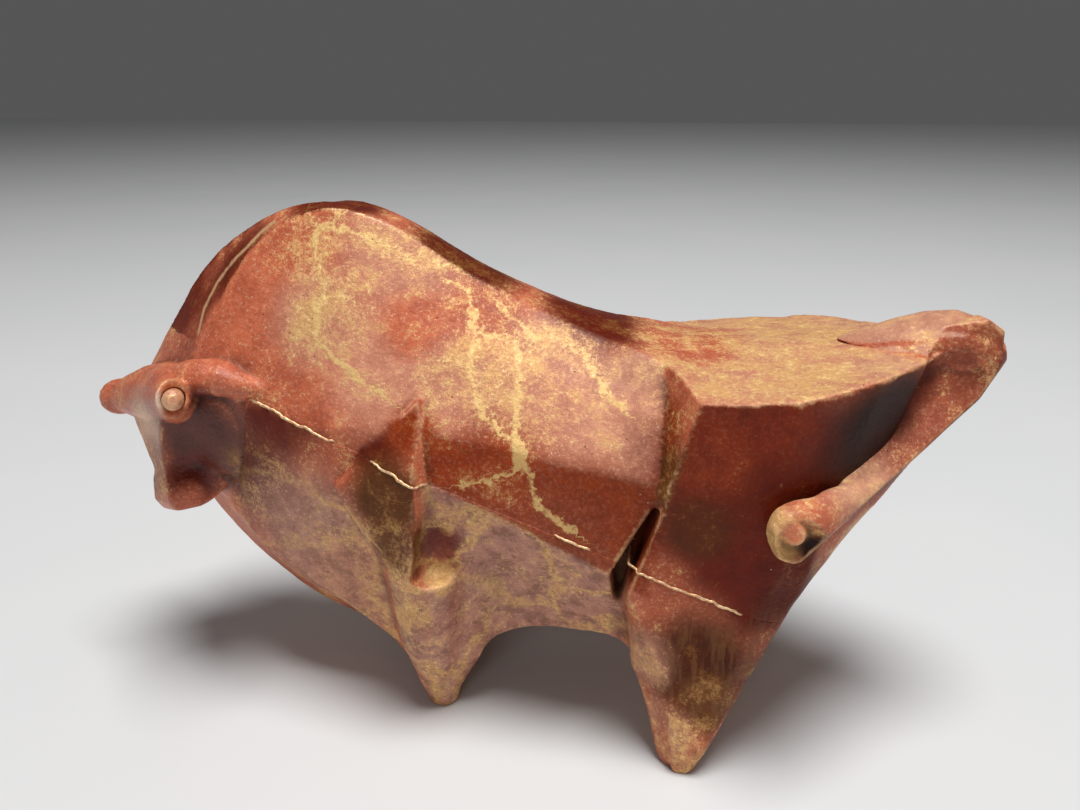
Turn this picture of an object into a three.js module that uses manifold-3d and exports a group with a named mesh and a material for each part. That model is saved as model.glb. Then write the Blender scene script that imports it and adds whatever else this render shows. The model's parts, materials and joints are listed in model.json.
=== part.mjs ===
import * as THREE from 'three';
import { ConvexGeometry } from 'three/addons/geometries/ConvexGeometry.js';
import { mergeVertices } from 'three/addons/utils/BufferGeometryUtils.js';
import Module from 'manifold-3d';

// A cast metal bull in flat planes. Millimetres, +Z up. The head is at -X, the rump at +X and the
// bull's left side at -Y. Head and tail apart, both sides are mirror images in the plane y = 0.
// The body is a hollow casting in two halves that are brazed together on a sloping plane; the head,
// the horn tips and the tail are castings of their own.

// Fits.
const FIT_GAP = 0.3;
const BRAZE_THICKNESS = 0.6;

// The parting plane: its height at x = 0 and its fall towards the rump.
const SEAM_HEIGHT = 75.3;
const SEAM_ANGLE = THREE.MathUtils.degToRad(19.6);

// Trunk: guide lines along x. Each knot is [x, height or half-width].
const CREST_HEIGHT = [
  [-129, 100], [-104, 136], [-84, 150.5], [-64, 156], [-42, 151.5], [-18, 138.5], [6, 128], [30, 121], [47, 117], [62, 112], [80, 106],
];
const RIDGE_HALF = [[-129, 4], [-103, 18], [-84, 13], [-62, 8.5], [-30, 8], [-4, 10], [19, 14], [37, 22.5], [62, 26], [80, 20]];
const RIDGE_DROP = [[-129, 1], [-103, 24], [-84, 9], [-62, 1], [-30, 1.5], [-4, 1.5], [19, 2], [37, 2], [47, 4.5], [62, 6], [80, 6]];
const CREASE_HALF = [[-129, 6], [-101, 24], [-82, 29], [-56, 35], [-27, 37], [37, 40], [46, 32], [62, 30], [80, 24]];
const CREASE_HEIGHT = [[-129, 97], [-101, 104], [-82, 103], [-61, 97], [-27, 100], [37, 89], [62, 84], [80, 84]];
const CHINE_HALF = [[-129, 5], [-101, 20], [-82, 28], [-56, 34], [-27, 38], [37, 41], [46, 33], [62, 30], [80, 22]];
const CHINE_HEIGHT = [[-129, 93], [-101, 88], [-82, 88], [-57, 80], [-28, 84], [-2, 74.5], [25, 61], [62, 58], [80, 70]];
const FLOOR_HALF = [[-129, 3], [-101, 14], [-82, 22], [-57, 24], [-45, 22], [-28, 25], [0, 25.5], [25, 29], [62, 20], [80, 8]];
const FLOOR_HEIGHT = [
  [-129, 88], [-101, 66], [-82, 50], [-57, 34], [-45, 22], [-30, 7], [-16, 8], [0, 24], [25, 27], [44, 31], [62, 46], [80, 60],
];
const KEEL_HEIGHT = [
  [-129, 86], [-112, 56], [-91, 32], [-70, 18], [-48, 12.5], [-20, 22], [0, 32], [25, 40], [44, 44], [62, 48], [80, 60],
];
const TRUNK_STEP = 5;
const FLANK_CROWN = 1.2;

// Hindquarters: plan outlines stacked in height. Pairs are [x, distance from the middle].
const HAUNCH_HALF = 42.5;
const HAUNCH_FACE_DEPTH = 19;
const HAUNCH_FACE_SET = 10;
const HAUNCH_LEVELS = [
  { z: 56, front: 29.5, turn: 66, cheek: [75, 39], valley: [78, 33], wall: [81, 22], back: 88 },
  { z: 66, front: 32.5, turn: 70, cheek: [78, 39], valley: [84, 32], wall: [90, 20], back: 97 },
  { z: 82, front: 37.5, turn: 74, cheek: [81, 37], valley: [88, 30], wall: [103, 14], back: 108 },
  { z: 98, front: 42.5, turn: 78, cheek: [89, 31], valley: [99, 21.5], wall: [115, 9], back: 117 },
  { z: 114, front: 47, turn: 80, cheek: [93, 31.5], valley: [105, 20], wall: [123, 9], back: 124.5 },
  { z: 128, front: 50, turn: 82, cheek: [95, 32], valley: [108, 20], wall: [124, 9], back: 126 },
];
// The deck slopes from its middle line to each edge.
const DECK_LINES = [
  { x: 20, half: 30, edge: 119, middle: 125 },
  { x: 38, half: 28, edge: 117.3, middle: 119.5 },
  { x: 47, half: 42, edge: 113.3, middle: 118.5 },
  { x: 75, half: 42, edge: 115.2, middle: 118.8 },
  { x: 90, half: 36, edge: 118, middle: 119.8 },
  { x: 108, half: 14, edge: 120.6, middle: 121.6 },
  { x: 134, half: 14, edge: 123, middle: 124 },
];

// Legs, from the belly down to the soles at z = 0.
const HIND_LEG = [
  { z: 56, face: [29.5, 40], front: [30, 42.5], turn: [66, 42.5], cheek: [75, 39], rear: [85, 10], inner: [31, 1] },
  { z: 44, face: [30.5, 37], front: [35.2, 42.8], turn: [62.5, 43], cheek: [70.5, 39], rear: [77, 16], inner: [31, 10] },
  { z: 30, face: [31.5, 36], front: [42.5, 44.3], turn: [57.5, 44], cheek: [64.5, 40], rear: [67.5, 25], inner: [32.5, 22] },
  { z: 8, face: [38.5, 39.5], front: [45.2, 46.6], turn: [52, 47], cheek: [54.5, 44], rear: [53.5, 38], inner: [41, 37] },
  { z: 0, face: [40.8, 40.5], front: [45.4, 45.2], turn: [49, 45.5], cheek: [51, 43.5], rear: [50.5, 38.5], inner: [42.5, 37.5] },
];
const FORE_LEG = [
  { z: 76, x: -31, y: 24, radius: 13 },
  { z: 55, x: -30.5, y: 29, radius: 13 },
  { z: 28, x: -30.5, y: 25.5, radius: 10.4 },
  { z: 5, x: -28.5, y: 21.5, radius: 6.2 },
  { z: 0, x: -28.5, y: 21, radius: 4.6 },
];
const LEG_SIDES = 16;

// Shoulder wedge on the flank, as [x, distance from the middle, height].
const SHOULDER = {
  apex: [-28, 36, 109],
  ridge: [[-28.6, 43, 90], [-29.5, 44.5, 70], [-31, 43, 54]],
  chest: [-54, 37, 81],
  elbow: [-42, 36.5, 58],
  behind: [-25.5, 38.5, 82],
  root: [[-28, 20, 107], [-54, 20, 79], [-42, 20, 52], [-25, 20, 54]],
};
// Elbow notch: a pointed drop, turned about its upright axis; [radius, height].
const NOTCH_PROFILE = [[0, -9], [6, -8], [9, -5], [7.4, 0], [4, 11], [1.6, 21], [0, 30]];
const NOTCH_PLACE = [-23.5, 40.5, 61];
const NOTCH_LEAN = THREE.MathUtils.degToRad(6);
// Side-view outlines as [x, z]: the cleft in front of the haunch, and the arch under the belly.
const CLEFT = [[39.3, 88], [25, 61], [26, 50], [27.6, 50], [33.8, 68], [40, 88]];
const CLEFT_FLOOR = 24;
const ARCH = [
  [-21, -2], [-19.2, 6.6], [-15.8, 19.5], [-12, 27.6], [-5, 32], [4, 34], [14, 35], [22, 34.9], [28, 32.6], [32.5, 28],
  [36, 19.5], [39.4, 6], [41.5, -2],
];
// Wider than any part of the body, for cuts that run right across it.
const CLEAR_HALF = 60;

// Roll of skin on each side of the neck, behind the head.
const NAPE_RUN = [
  { at: [-104, -23.5, 107], across: 4.4, deep: 4.2 },
  { at: [-96, -27, 108.6], across: 6, deep: 5.6 },
  { at: [-87, -27.2, 109], across: 5.2, deep: 4.6 },
  { at: [-81, -25.5, 107.8], across: 3, deep: 2.4 },
  { at: [-76, -23, 106.6], across: 1, deep: 0.9 },
];
const NAPE_SIDES = 12;

// Tail: stations along its run, from the rump over the tip to the tuft on the left thigh.
const TAIL_RUN = [
  { at: [84, 0, 117], across: 4, deep: 2.4 },
  { at: [103, 0, 120.5], across: 12, deep: 5.5 },
  { at: [117, 0, 121.5], across: 13, deep: 7.5 },
  { at: [124.5, 0, 117.5], across: 12, deep: 7 },
  { at: [123.5, -1, 109], across: 11, deep: 7 },
  { at: [115.5, -5, 98], across: 10, deep: 6.5 },
  { at: [108, -12, 91.2], across: 8, deep: 6.2 },
  { at: [99.5, -22.5, 87.5], across: 6.4, deep: 5.4 },
  { at: [90.5, -32.5, 86], across: 5.2, deep: 5 },
  { at: [81, -40.5, 85], across: 5, deep: 5.6 },
  { at: [73.5, -45, 81.5], across: 5.6, deep: 7.8 },
  { at: [69.5, -47.3, 80], across: 5, deep: 7.8 },
  { at: [66.5, -49, 79], across: 3, deep: 4.6 },
];
const TAIL_SIDES = 14;
const TUFT_HOLLOW = { at: [75.5, -52.5, 77.5], radius: 5.6 };
const TAIL_TENON = { from: [124, 0, 111], to: [108, 0, 111], radius: 3.5 };

// Head, in its own frame: it looks along -X and its left is -Y. Then it is turned and set on the neck.
const HEAD_PLACE = [-112, -16, 98];
const HEAD_YAW = THREE.MathUtils.degToRad(50);
const HEAD_ROLL = THREE.MathUtils.degToRad(-14);
const HEAD_PITCH = THREE.MathUtils.degToRad(4);
const HORN_RUN = [
  { at: [1, 0, 0], radius: 11 },
  { at: [-1, 10, 1], radius: 9.5 },
  { at: [-4.2, 18, 1.2], radius: 7 },
  { at: [-6.4, 22.5, 1.1], radius: 5.2 },
  { at: [-7, 24, 1], radius: 5.9 },
  { at: [-8, 26.4, 1], radius: 5.7 },
];
const HORN_SWEEP = THREE.MathUtils.degToRad(19);
const HORN_SIDES = 14;
const HORN_TIP_RADIUS = 3;
const HORN_TIP_REACH = 7;
const HORN_TIP_SEAT = 5;
const HORN_TIP_ROUND = 1.6;
const FACE = [
  { z: 5, front: -8, frontHalf: 15, back: 16, backHalf: 17 },
  { z: -7, front: -8, frontHalf: 12.5, back: 18, backHalf: 17 },
  { z: -12.6, front: -7.8, frontHalf: 8.4, back: 17.5, backHalf: 15 },
  { z: -19, front: -7, frontHalf: 6.8, back: 14, backHalf: 11 },
  { z: -22.5, front: -6.6, frontHalf: 6.2, back: 9, backHalf: 6.6 },
];
const MUZZLE = [
  { z: -20.5, front: -4, frontHalf: 5, back: 6, backHalf: 5 },
  { z: -23.5, front: -7.4, frontHalf: 7, back: 9.6, backHalf: 8.6 },
  { z: -31, front: -7.6, frontHalf: 7.2, back: 9.3, backHalf: 8.2 },
  { z: -34.4, front: -5.6, frontHalf: 5.6, back: 6.8, backHalf: 6 },
];
const POLL = [[2, 13, 9], [2, 14, -8], [20, 15, 9], [20, 15, -16]];
// The flat joint between head and neck, as far behind the head's middle, and the tenon across it.
const HEAD_JOINT = 9.5;
const NECK_TENON = { from: [-114, -17, 97], to: [-95, -2, 96], radius: 5 };
const TENON_SIDES = 20;

// The hollow inside: the outer forms drawn in towards a middle point, kept within boxes, with a
// throat between them. The legs, the shoulder bosses and the bottom of the brisket stay solid.
const FORE_HOLLOW = { middle: [-10, 0, 88], draw: [1, 0.86, 0.9] };
const HOLLOW_TOP = 200;
const BRISKET_FLOOR = 29;
const BELLY_FLOOR = 44;
const BELLY_START = -30;
const FORE_ROOMS = [
  { min: [-86, -CLEAR_HALF, BRISKET_FLOOR], max: [BELLY_START, CLEAR_HALF, HOLLOW_TOP] },
  { min: [BELLY_START - 1, -CLEAR_HALF, BELLY_FLOOR], max: [18, CLEAR_HALF, HOLLOW_TOP] },
];
const SHOULDER_BOSS = { min: [-46, 27, 20], max: [-12, CLEAR_HALF, 84] };
const HIND_HOLLOW = { middle: [72, 0, 90], draw: [0.86, 0.86, 0.84] };
const HIND_ROOM = { min: [44, -CLEAR_HALF, 66], max: [104, CLEAR_HALF, HOLLOW_TOP] };
const THROAT = { min: [10, -14, 68], max: [52, 14, 104] };
const VENT = { from: [4, 0, 20], to: [4, 0, 52], radius: 2 };

// Locating pins across the parting plane: [x, distance from the middle].
const PIN_SPOTS = [[-56, 29.5], [10, 34]];
const PIN_RADIUS = 1.5;
const PIN_BOSS_WALL = 2.5;
const PIN_LENGTH = 14;
const PIN_SIDES = 16;
const PINS = PIN_SPOTS.flatMap((spot) => [-1, 1].map((side) => ({ spot, side })));

const FINISHES = {
  redLacquer: { color: 0x8f3420, roughness: 0.42, metalness: 0.5 },
  darkLacquer: { color: 0x70402c, roughness: 0.45, metalness: 0.5 },
  wornBronze: { color: 0xb98a4a, roughness: 0.4, metalness: 0.8 },
  braze: { color: 0xd9b06a, roughness: 0.45, metalness: 0.8 },
  steel: { color: 0x9a9a98, roughness: 0.4, metalness: 0.9 },
};

const wasm = await Module();
wasm.setup();

const vector = (point) => new THREE.Vector3(...point);
const leftOf = ([x, y, z]) => [x, -y, z];

function curveThrough(knots, Interpolant) {
  const places = knots.map((knot) => knot[0]);
  const values = knots.flatMap((knot) => knot.slice(1));
  const curve = new Interpolant(places, values, knots[0].length - 1);
  return (place) => Array.from(curve.evaluate(place));
}
const smooth = (knots) => (x) => curveThrough(knots, THREE.CubicInterpolant)(x)[0];
const straight = (knots) => (x) => curveThrough(knots, THREE.LinearInterpolant)(x)[0];

// Triangles that close one end ring, flattened along the ring's own normal.
function capOf(ring) {
  const normal = new THREE.Vector3();
  ring.forEach((point, i) => normal.add(point.clone().cross(ring[(i + 1) % ring.length])));
  normal.normalize();
  const guide = Math.abs(normal.x) > 0.9 ? new THREE.Vector3(0, 1, 0) : new THREE.Vector3(1, 0, 0);
  const u = guide.cross(normal).normalize();
  const v = normal.clone().cross(u);
  return THREE.ShapeUtils.triangulateShape(ring.map((point) => new THREE.Vector2(point.dot(u), point.dot(v))), []);
}

// A closed skin through rings of equally many points.
function loft(rings) {
  const count = rings[0].length;
  const index = [];
  for (let r = 0; r + 1 < rings.length; r += 1) {
    for (let i = 0; i < count; i += 1) {
      const a = r * count + i;
      const b = r * count + ((i + 1) % count);
      index.push(a, b, b + count, a, b + count, a + count);
    }
  }
  const last = (rings.length - 1) * count;
  for (const [a, b, c] of capOf(rings[0])) {
    index.push(a, c, b);
  }
  for (const [a, b, c] of capOf(rings.at(-1))) {
    index.push(last + a, last + b, last + c);
  }
  const geometry = new THREE.BufferGeometry();
  const position = rings.flat().flatMap((point) => point.toArray());
  geometry.setAttribute('position', new THREE.Float32BufferAttribute(position, 3));
  geometry.setIndex(index);
  return geometry;
}

function solid(geometry) {
  const bare = geometry.clone();
  bare.deleteAttribute('normal');
  bare.deleteAttribute('uv');
  const merged = mergeVertices(bare, 1e-4);
  return new wasm.Manifold(new wasm.Mesh({
    numProp: 3,
    vertProperties: new Float32Array(merged.attributes.position.array),
    triVerts: new Uint32Array(merged.index.array),
  }));
}

function geometryOf(piece) {
  const mesh = piece.getMesh();
  const geometry = new THREE.BufferGeometry();
  geometry.setAttribute('position', new THREE.BufferAttribute(mesh.vertProperties, 3));
  geometry.setIndex(new THREE.BufferAttribute(mesh.triVerts, 1));
  geometry.computeVertexNormals();
  return geometry;
}

const union = (pieces) => pieces.reduce((all, piece) => all.add(piece));

function mirrored(piece) {
  const geometry = geometryOf(piece).scale(1, -1, 1);
  const corners = geometry.index.array;
  for (let i = 0; i < corners.length; i += 3) {
    [corners[i + 1], corners[i + 2]] = [corners[i + 2], corners[i + 1]];
  }
  return solid(geometry);
}
const pair = (piece) => piece.add(mirrored(piece));

// A closed ring from its left half, given as [y, height] from the top round by -Y to the bottom.
function symmetric(half) {
  const right = half.slice(1, -1).reverse();
  return [...half, ...right.map(([y, z]) => [-y, z])];
}

const circle = (radius, sides) => Array.from({ length: sides }, (_, i) => {
  const angle = (2 * Math.PI * i) / sides;
  return [radius * Math.cos(angle), radius * Math.sin(angle)];
});

function hull(points) {
  return solid(new ConvexGeometry(points.map(vector)));
}

function block({ min, max }) {
  const box = new THREE.Box3(vector(min), vector(max));
  const size = box.getSize(new THREE.Vector3());
  const centre = box.getCenter(new THREE.Vector3());
  return solid(new THREE.BoxGeometry(...size.toArray()).translate(...centre.toArray()));
}

function rod({ from, to, radius }, grow = 0) {
  const along = vector(to).sub(vector(from));
  const length = along.length() + grow;
  const geometry = new THREE.CylinderGeometry(radius + grow, radius + grow, length, TENON_SIDES);
  geometry.translate(0, length / 2, 0);
  geometry.applyQuaternion(new THREE.Quaternion().setFromUnitVectors(new THREE.Vector3(0, 1, 0), along.normalize()));
  geometry.translate(...from);
  return solid(geometry);
}

function ball({ at, radius }) {
  return solid(new THREE.SphereGeometry(radius, 16, 10).translate(...at));
}

// A side-view outline in [x, z], extruded across the body between two values of y.
function sideCut(shape, from, to) {
  const geometry = new THREE.ExtrudeGeometry(shape, { depth: to - from, bevelEnabled: false, curveSegments: 6 });
  geometry.rotateX(Math.PI / 2);
  geometry.translate(0, to, 0);
  return solid(geometry);
}

// A run of oval rings through stations; the ovals keep their wide way level.
function ovalRun(stations, sides) {
  const points = stations.map(({ at }) => vector(at));
  const level = new THREE.Vector3(0, 1, 0);
  const rings = stations.map(({ across, deep }, i) => {
    const before = points[Math.max(i - 1, 0)];
    const after = points[Math.min(i + 1, points.length - 1)];
    const along = after.clone().sub(before).normalize();
    const side = level.clone().addScaledVector(along, -level.dot(along)).normalize();
    const out = along.clone().cross(side);
    return circle(1, sides).map(([u, v]) => points[i].clone()
      .addScaledVector(side, u * across).addScaledVector(out, v * deep));
  });
  return solid(loft(rings));
}

// The same run with smooth stations in between, and thicker by a given clearance.
function smoothRun(stations, times, sides, grow = 0) {
  const knots = stations.map(({ at, across, deep }, i) => [i, ...at, across + grow, deep + grow]);
  const curve = curveThrough(knots, THREE.CubicInterpolant);
  const count = (stations.length - 1) * times;
  const finer = Array.from({ length: count + 1 }, (_, i) => {
    const [x, y, z, across, deep] = curve(i / times);
    return { at: [x, y, z], across, deep };
  });
  return ovalRun(finer, sides);
}

function trunk(grow = 0) {
  const crest = smooth(CREST_HEIGHT);
  const ridgeHalf = smooth(RIDGE_HALF);
  const ridgeDrop = smooth(RIDGE_DROP);
  const creaseHalf = straight(CREASE_HALF);
  const creaseHeight = straight(CREASE_HEIGHT);
  const chineHalf = straight(CHINE_HALF);
  const chineHeight = straight(CHINE_HEIGHT);
  const floorHalf = smooth(FLOOR_HALF);
  const floorHeight = smooth(FLOOR_HEIGHT);
  const keel = smooth(KEEL_HEIGHT);
  const front = CREST_HEIGHT[0][0];
  const rear = CREST_HEIGHT.at(-1)[0];
  const steps = Math.round((rear - front) / TRUNK_STEP);
  const rings = Array.from({ length: steps + 1 }, (_, i) => {
    const x = front + ((rear - front) * i) / steps;
    const ridge = [-ridgeHalf(x) - grow, crest(x) - ridgeDrop(x) + grow];
    const crease = [-creaseHalf(x) - grow, creaseHeight(x)];
    const flank = [(ridge[0] + crease[0]) / 2 - FLANK_CROWN, (ridge[1] + crease[1]) / 2 + FLANK_CROWN];
    const half = [
      [0, crest(x) + grow],
      ridge,
      flank,
      crease,
      [-chineHalf(x) - grow, chineHeight(x)],
      [-floorHalf(x) - grow, floorHeight(x) - grow],
      [0, keel(x) - grow],
    ];
    return symmetric(half).map(([y, z]) => new THREE.Vector3(x, y, z));
  });
  return solid(loft(rings));
}

function aboveDeck(grow) {
  const reach = 2 * CLEAR_HALF;
  const rings = DECK_LINES.map(({ x, half, edge, middle }) => {
    const side = middle - ((middle - edge) * CLEAR_HALF) / half + grow;
    const ring = [[0, middle + grow], [-CLEAR_HALF, side], [-CLEAR_HALF, side + reach],
      [CLEAR_HALF, side + reach], [CLEAR_HALF, side]];
    return ring.map(([y, z]) => new THREE.Vector3(x, y, z)).reverse();
  });
  return solid(loft(rings));
}

function haunches(grow = 0) {
  const inset = HAUNCH_HALF - HAUNCH_FACE_DEPTH;
  const rings = HAUNCH_LEVELS.map(({ z, front, turn, cheek, valley, wall, back }) => {
    const half = [
      [0, front - HAUNCH_FACE_SET],
      [-inset, front - HAUNCH_FACE_SET],
      [-HAUNCH_HALF - grow, front],
      [-HAUNCH_HALF - grow, turn],
      [-cheek[1] - grow, cheek[0]],
      [-valley[1] - grow, valley[0]],
      [-wall[1] - grow, wall[0] + grow],
      [0, back + grow],
    ];
    return symmetric(half).map(([y, x]) => new THREE.Vector3(x, y, z));
  });
  return solid(loft(rings)).subtract(aboveDeck(grow));
}

function hindLeg() {
  const rings = HIND_LEG.map(({ z, face, front, turn, cheek, rear, inner }) => [face, front, turn, cheek, rear, inner]
    .map(([x, y]) => new THREE.Vector3(x, -y, z)));
  return solid(loft(rings.reverse()));
}

function foreLeg() {
  const rings = FORE_LEG.map(({ z, x, y, radius }) => circle(radius, LEG_SIDES)
    .map(([u, v]) => new THREE.Vector3(x + u, -y + v, z)));
  return solid(loft(rings.reverse()));
}

function shoulder() {
  const { apex, ridge, chest, elbow, behind, root } = SHOULDER;
  return hull([apex, ...ridge, chest, elbow, behind, ...root].map(leftOf));
}

function elbowNotch() {
  const geometry = new THREE.LatheGeometry(NOTCH_PROFILE.map(([r, z]) => new THREE.Vector2(r, z)), LEG_SIDES);
  geometry.rotateX(Math.PI / 2);
  geometry.rotateY(-NOTCH_LEAN);
  geometry.translate(...leftOf(NOTCH_PLACE));
  return solid(geometry);
}

function cleft() {
  const outline = new THREE.Shape(CLEFT.map(([x, z]) => new THREE.Vector2(x, z)));
  return sideCut(outline, -CLEAR_HALF, -CLEFT_FLOOR);
}

function arch() {
  const outline = new THREE.Shape();
  outline.moveTo(...ARCH[0]);
  outline.splineThru(ARCH.slice(1).map(([x, z]) => new THREE.Vector2(x, z)));
  return sideCut(outline, -CLEAR_HALF, CLEAR_HALF);
}

function drawnIn(piece, { middle, draw }) {
  const geometry = geometryOf(piece);
  geometry.translate(...middle.map((value) => -value));
  geometry.scale(...draw);
  geometry.translate(...middle);
  return solid(geometry);
}

function hollow() {
  const fore = drawnIn(trunk(), FORE_HOLLOW).intersect(union(FORE_ROOMS.map(block)));
  const hind = drawnIn(haunches(), HIND_HOLLOW).intersect(block(HIND_ROOM));
  const bosses = union([...pinsGrown(PIN_BOSS_WALL), pair(block(SHOULDER_BOSS))]);
  return union([fore, hind, block(THROAT)]).subtract(bosses);
}

// The slab of the parting plane between two heights above it.
function seamSlab(from, to) {
  const geometry = new THREE.BoxGeometry(8 * CLEAR_HALF, 4 * CLEAR_HALF, to - from);
  geometry.translate(0, 0, (from + to) / 2);
  geometry.rotateY(SEAM_ANGLE);
  geometry.translate(0, 0, SEAM_HEIGHT);
  return solid(geometry);
}

function locatingPin([x, y], side, grow = 0) {
  const radius = PIN_RADIUS + grow;
  const geometry = new THREE.CylinderGeometry(radius, radius, PIN_LENGTH + 2 * grow, PIN_SIDES);
  geometry.rotateX(Math.PI / 2);
  geometry.rotateY(SEAM_ANGLE);
  geometry.translate(x, side * y, SEAM_HEIGHT - x * Math.tan(SEAM_ANGLE));
  return solid(geometry);
}

function pinsGrown(grow) {
  return PINS.map(({ spot, side }) => locatingPin(spot, side, grow));
}

function horn(side) {
  const rings = HORN_RUN.map(({ at, radius }, i) => {
    const sweep = (HORN_SWEEP * i) / (HORN_RUN.length - 1);
    return circle(radius, HORN_SIDES).map(([u, v]) => new THREE.Vector3(
      at[0] + u * Math.cos(sweep), side * (at[1] - u * Math.sin(sweep)), at[2] + v,
    ));
  });
  return solid(loft(side > 0 ? rings.reverse() : rings));
}

// The short pin that ends each horn; grown, it is the pin's socket.
function hornTip(side, grow = 0) {
  const radius = HORN_TIP_RADIUS + grow;
  const profile = [
    [0, -HORN_TIP_SEAT - grow],
    [radius, -HORN_TIP_SEAT - grow],
    [radius, HORN_TIP_REACH - HORN_TIP_ROUND],
    [radius - HORN_TIP_ROUND, HORN_TIP_REACH],
    [0, HORN_TIP_REACH],
  ];
  const geometry = new THREE.LatheGeometry(profile.map(([r, y]) => new THREE.Vector2(r, y)), HORN_SIDES);
  if (side < 0) {
    geometry.rotateX(Math.PI);
  }
  geometry.rotateZ(side * HORN_SWEEP);
  const [x, y, z] = HORN_RUN.at(-1).at;
  geometry.translate(x, side * y, z);
  return solid(geometry);
}

function boxLoft(levels) {
  const rings = levels.map(({ z, front, frontHalf, back, backHalf }) => [[front, -frontHalf], [back, -backHalf],
    [back, backHalf], [front, frontHalf]].map(([x, y]) => new THREE.Vector3(x, y, z)));
  return solid(loft(rings.reverse()));
}

function headOnNeck(piece) {
  const turn = (axis, angle) => new THREE.Quaternion().setFromAxisAngle(vector(axis), angle);
  const pose = turn([0, 0, 1], HEAD_YAW).multiply(turn([1, 0, 0], HEAD_ROLL)).multiply(turn([0, 1, 0], HEAD_PITCH));
  const place = new THREE.Matrix4().compose(vector(HEAD_PLACE), pose, new THREE.Vector3(1, 1, 1));
  return solid(geometryOf(piece).applyMatrix4(place));
}

function head() {
  const poll = hull(POLL.flatMap((corner) => [corner, leftOf(corner)]));
  return union([horn(1), horn(-1), poll, boxLoft(FACE), boxLoft(MUZZLE)]);
}

// All that lies ahead of the head joint, moved back by a given distance.
function aheadOfJoint(shift) {
  const size = 4 * CLEAR_HALF;
  const geometry = new THREE.BoxGeometry(size, size, size);
  geometry.translate(HEAD_JOINT + shift - size / 2, 0, 0);
  geometry.rotateZ(HEAD_YAW);
  geometry.translate(...HEAD_PLACE);
  return solid(geometry);
}

const napeRolls = (grow = 0) => pair(smoothRun(NAPE_RUN, 3, NAPE_SIDES, grow));

const model = new THREE.Group();
function add(name, piece, finish) {
  const mesh = new THREE.Mesh(geometryOf(piece), new THREE.MeshStandardMaterial(FINISHES[finish]));
  mesh.name = name;
  model.add(mesh);
}

const outside = union([trunk(), haunches(), pair(hindLeg()), pair(foreLeg()), pair(shoulder()), napeRolls()])
  .subtract(pair(elbowNotch())).subtract(pair(cleft())).subtract(arch());
const body = outside.subtract(hollow()).subtract(union(pinsGrown(FIT_GAP)))
  .subtract(rod(NECK_TENON, FIT_GAP)).subtract(rod(TAIL_TENON, FIT_GAP));
const brazeHalf = BRAZE_THICKNESS / 2;
const far = 4 * CLEAR_HALF;
const aboveSeam = seamSlab(brazeHalf + FIT_GAP, far);
const belowSeam = seamSlab(-far, -brazeHalf - FIT_GAP);
const cheeks = headOnNeck(boxLoft(FACE)).intersect(belowSeam).subtract(rod(NECK_TENON, FIT_GAP));
const lower = body.intersect(belowSeam).add(cheeks).subtract(aheadOfJoint(FIT_GAP / 2)).subtract(rod(VENT));
const neckAbove = trunk(FIT_GAP).add(napeRolls(FIT_GAP)).subtract(belowSeam);
const hornSockets = headOnNeck(hornTip(-1, FIT_GAP)).add(headOnNeck(hornTip(1, FIT_GAP)));
const wholeHead = headOnNeck(head()).subtract(neckAbove)
  .add(outside.intersect(belowSeam)).intersect(aheadOfJoint(-FIT_GAP / 2))
  .add(rod(NECK_TENON)).subtract(hornSockets);
const tail = smoothRun(TAIL_RUN, 2, TAIL_SIDES).subtract(ball(TUFT_HOLLOW)).subtract(haunches(FIT_GAP))
  .add(rod(TAIL_TENON));

add('upper_casting', body.intersect(aboveSeam), 'redLacquer');
add('lower_casting', lower, 'darkLacquer');
add('head_casting', wholeHead, 'darkLacquer');
add('horn_tip_left', headOnNeck(hornTip(-1)), 'wornBronze');
add('horn_tip_right', headOnNeck(hornTip(1)), 'wornBronze');
add('tail_casting', tail, 'darkLacquer');
add('braze_joint', body.intersect(seamSlab(-brazeHalf, brazeHalf)), 'braze');
for (const { spot, side } of PINS) {
  const name = `locating_pin_${spot[0] < 0 ? 'fore' : 'hind'}_${side < 0 ? 'left' : 'right'}`;
  add(name, locatingPin(spot, side), 'steel');
}

// The origin is under the middle of the bull, on the surface that it stands on.
const box = new THREE.Box3().setFromObject(model);
const middle = box.getCenter(new THREE.Vector3());
model.position.set(-middle.x, -middle.y, -box.min.z);

export default model;
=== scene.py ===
import json
import math

import bpy
import numpy as np
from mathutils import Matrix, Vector, noise

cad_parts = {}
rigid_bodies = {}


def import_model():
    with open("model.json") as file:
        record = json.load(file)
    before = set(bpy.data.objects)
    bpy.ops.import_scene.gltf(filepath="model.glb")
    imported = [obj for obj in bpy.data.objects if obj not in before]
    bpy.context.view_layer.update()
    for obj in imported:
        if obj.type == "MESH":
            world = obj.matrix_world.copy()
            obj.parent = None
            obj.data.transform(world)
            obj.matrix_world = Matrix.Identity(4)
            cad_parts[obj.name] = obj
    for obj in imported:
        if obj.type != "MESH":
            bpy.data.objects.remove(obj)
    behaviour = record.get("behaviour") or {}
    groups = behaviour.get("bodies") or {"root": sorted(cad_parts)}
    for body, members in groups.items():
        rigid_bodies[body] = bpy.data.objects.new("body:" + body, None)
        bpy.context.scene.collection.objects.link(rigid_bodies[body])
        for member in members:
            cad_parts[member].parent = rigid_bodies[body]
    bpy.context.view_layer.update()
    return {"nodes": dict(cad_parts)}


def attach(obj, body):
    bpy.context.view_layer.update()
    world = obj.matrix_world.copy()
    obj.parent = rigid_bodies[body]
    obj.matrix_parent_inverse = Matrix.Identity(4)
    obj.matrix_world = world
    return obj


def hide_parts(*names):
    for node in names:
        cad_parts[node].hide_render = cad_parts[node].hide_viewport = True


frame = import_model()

MM = 0.001
# Where the bull's own middle lies in the frame.
MIDDLE = Vector((6.091, 2.394, 0)) * MM


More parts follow.
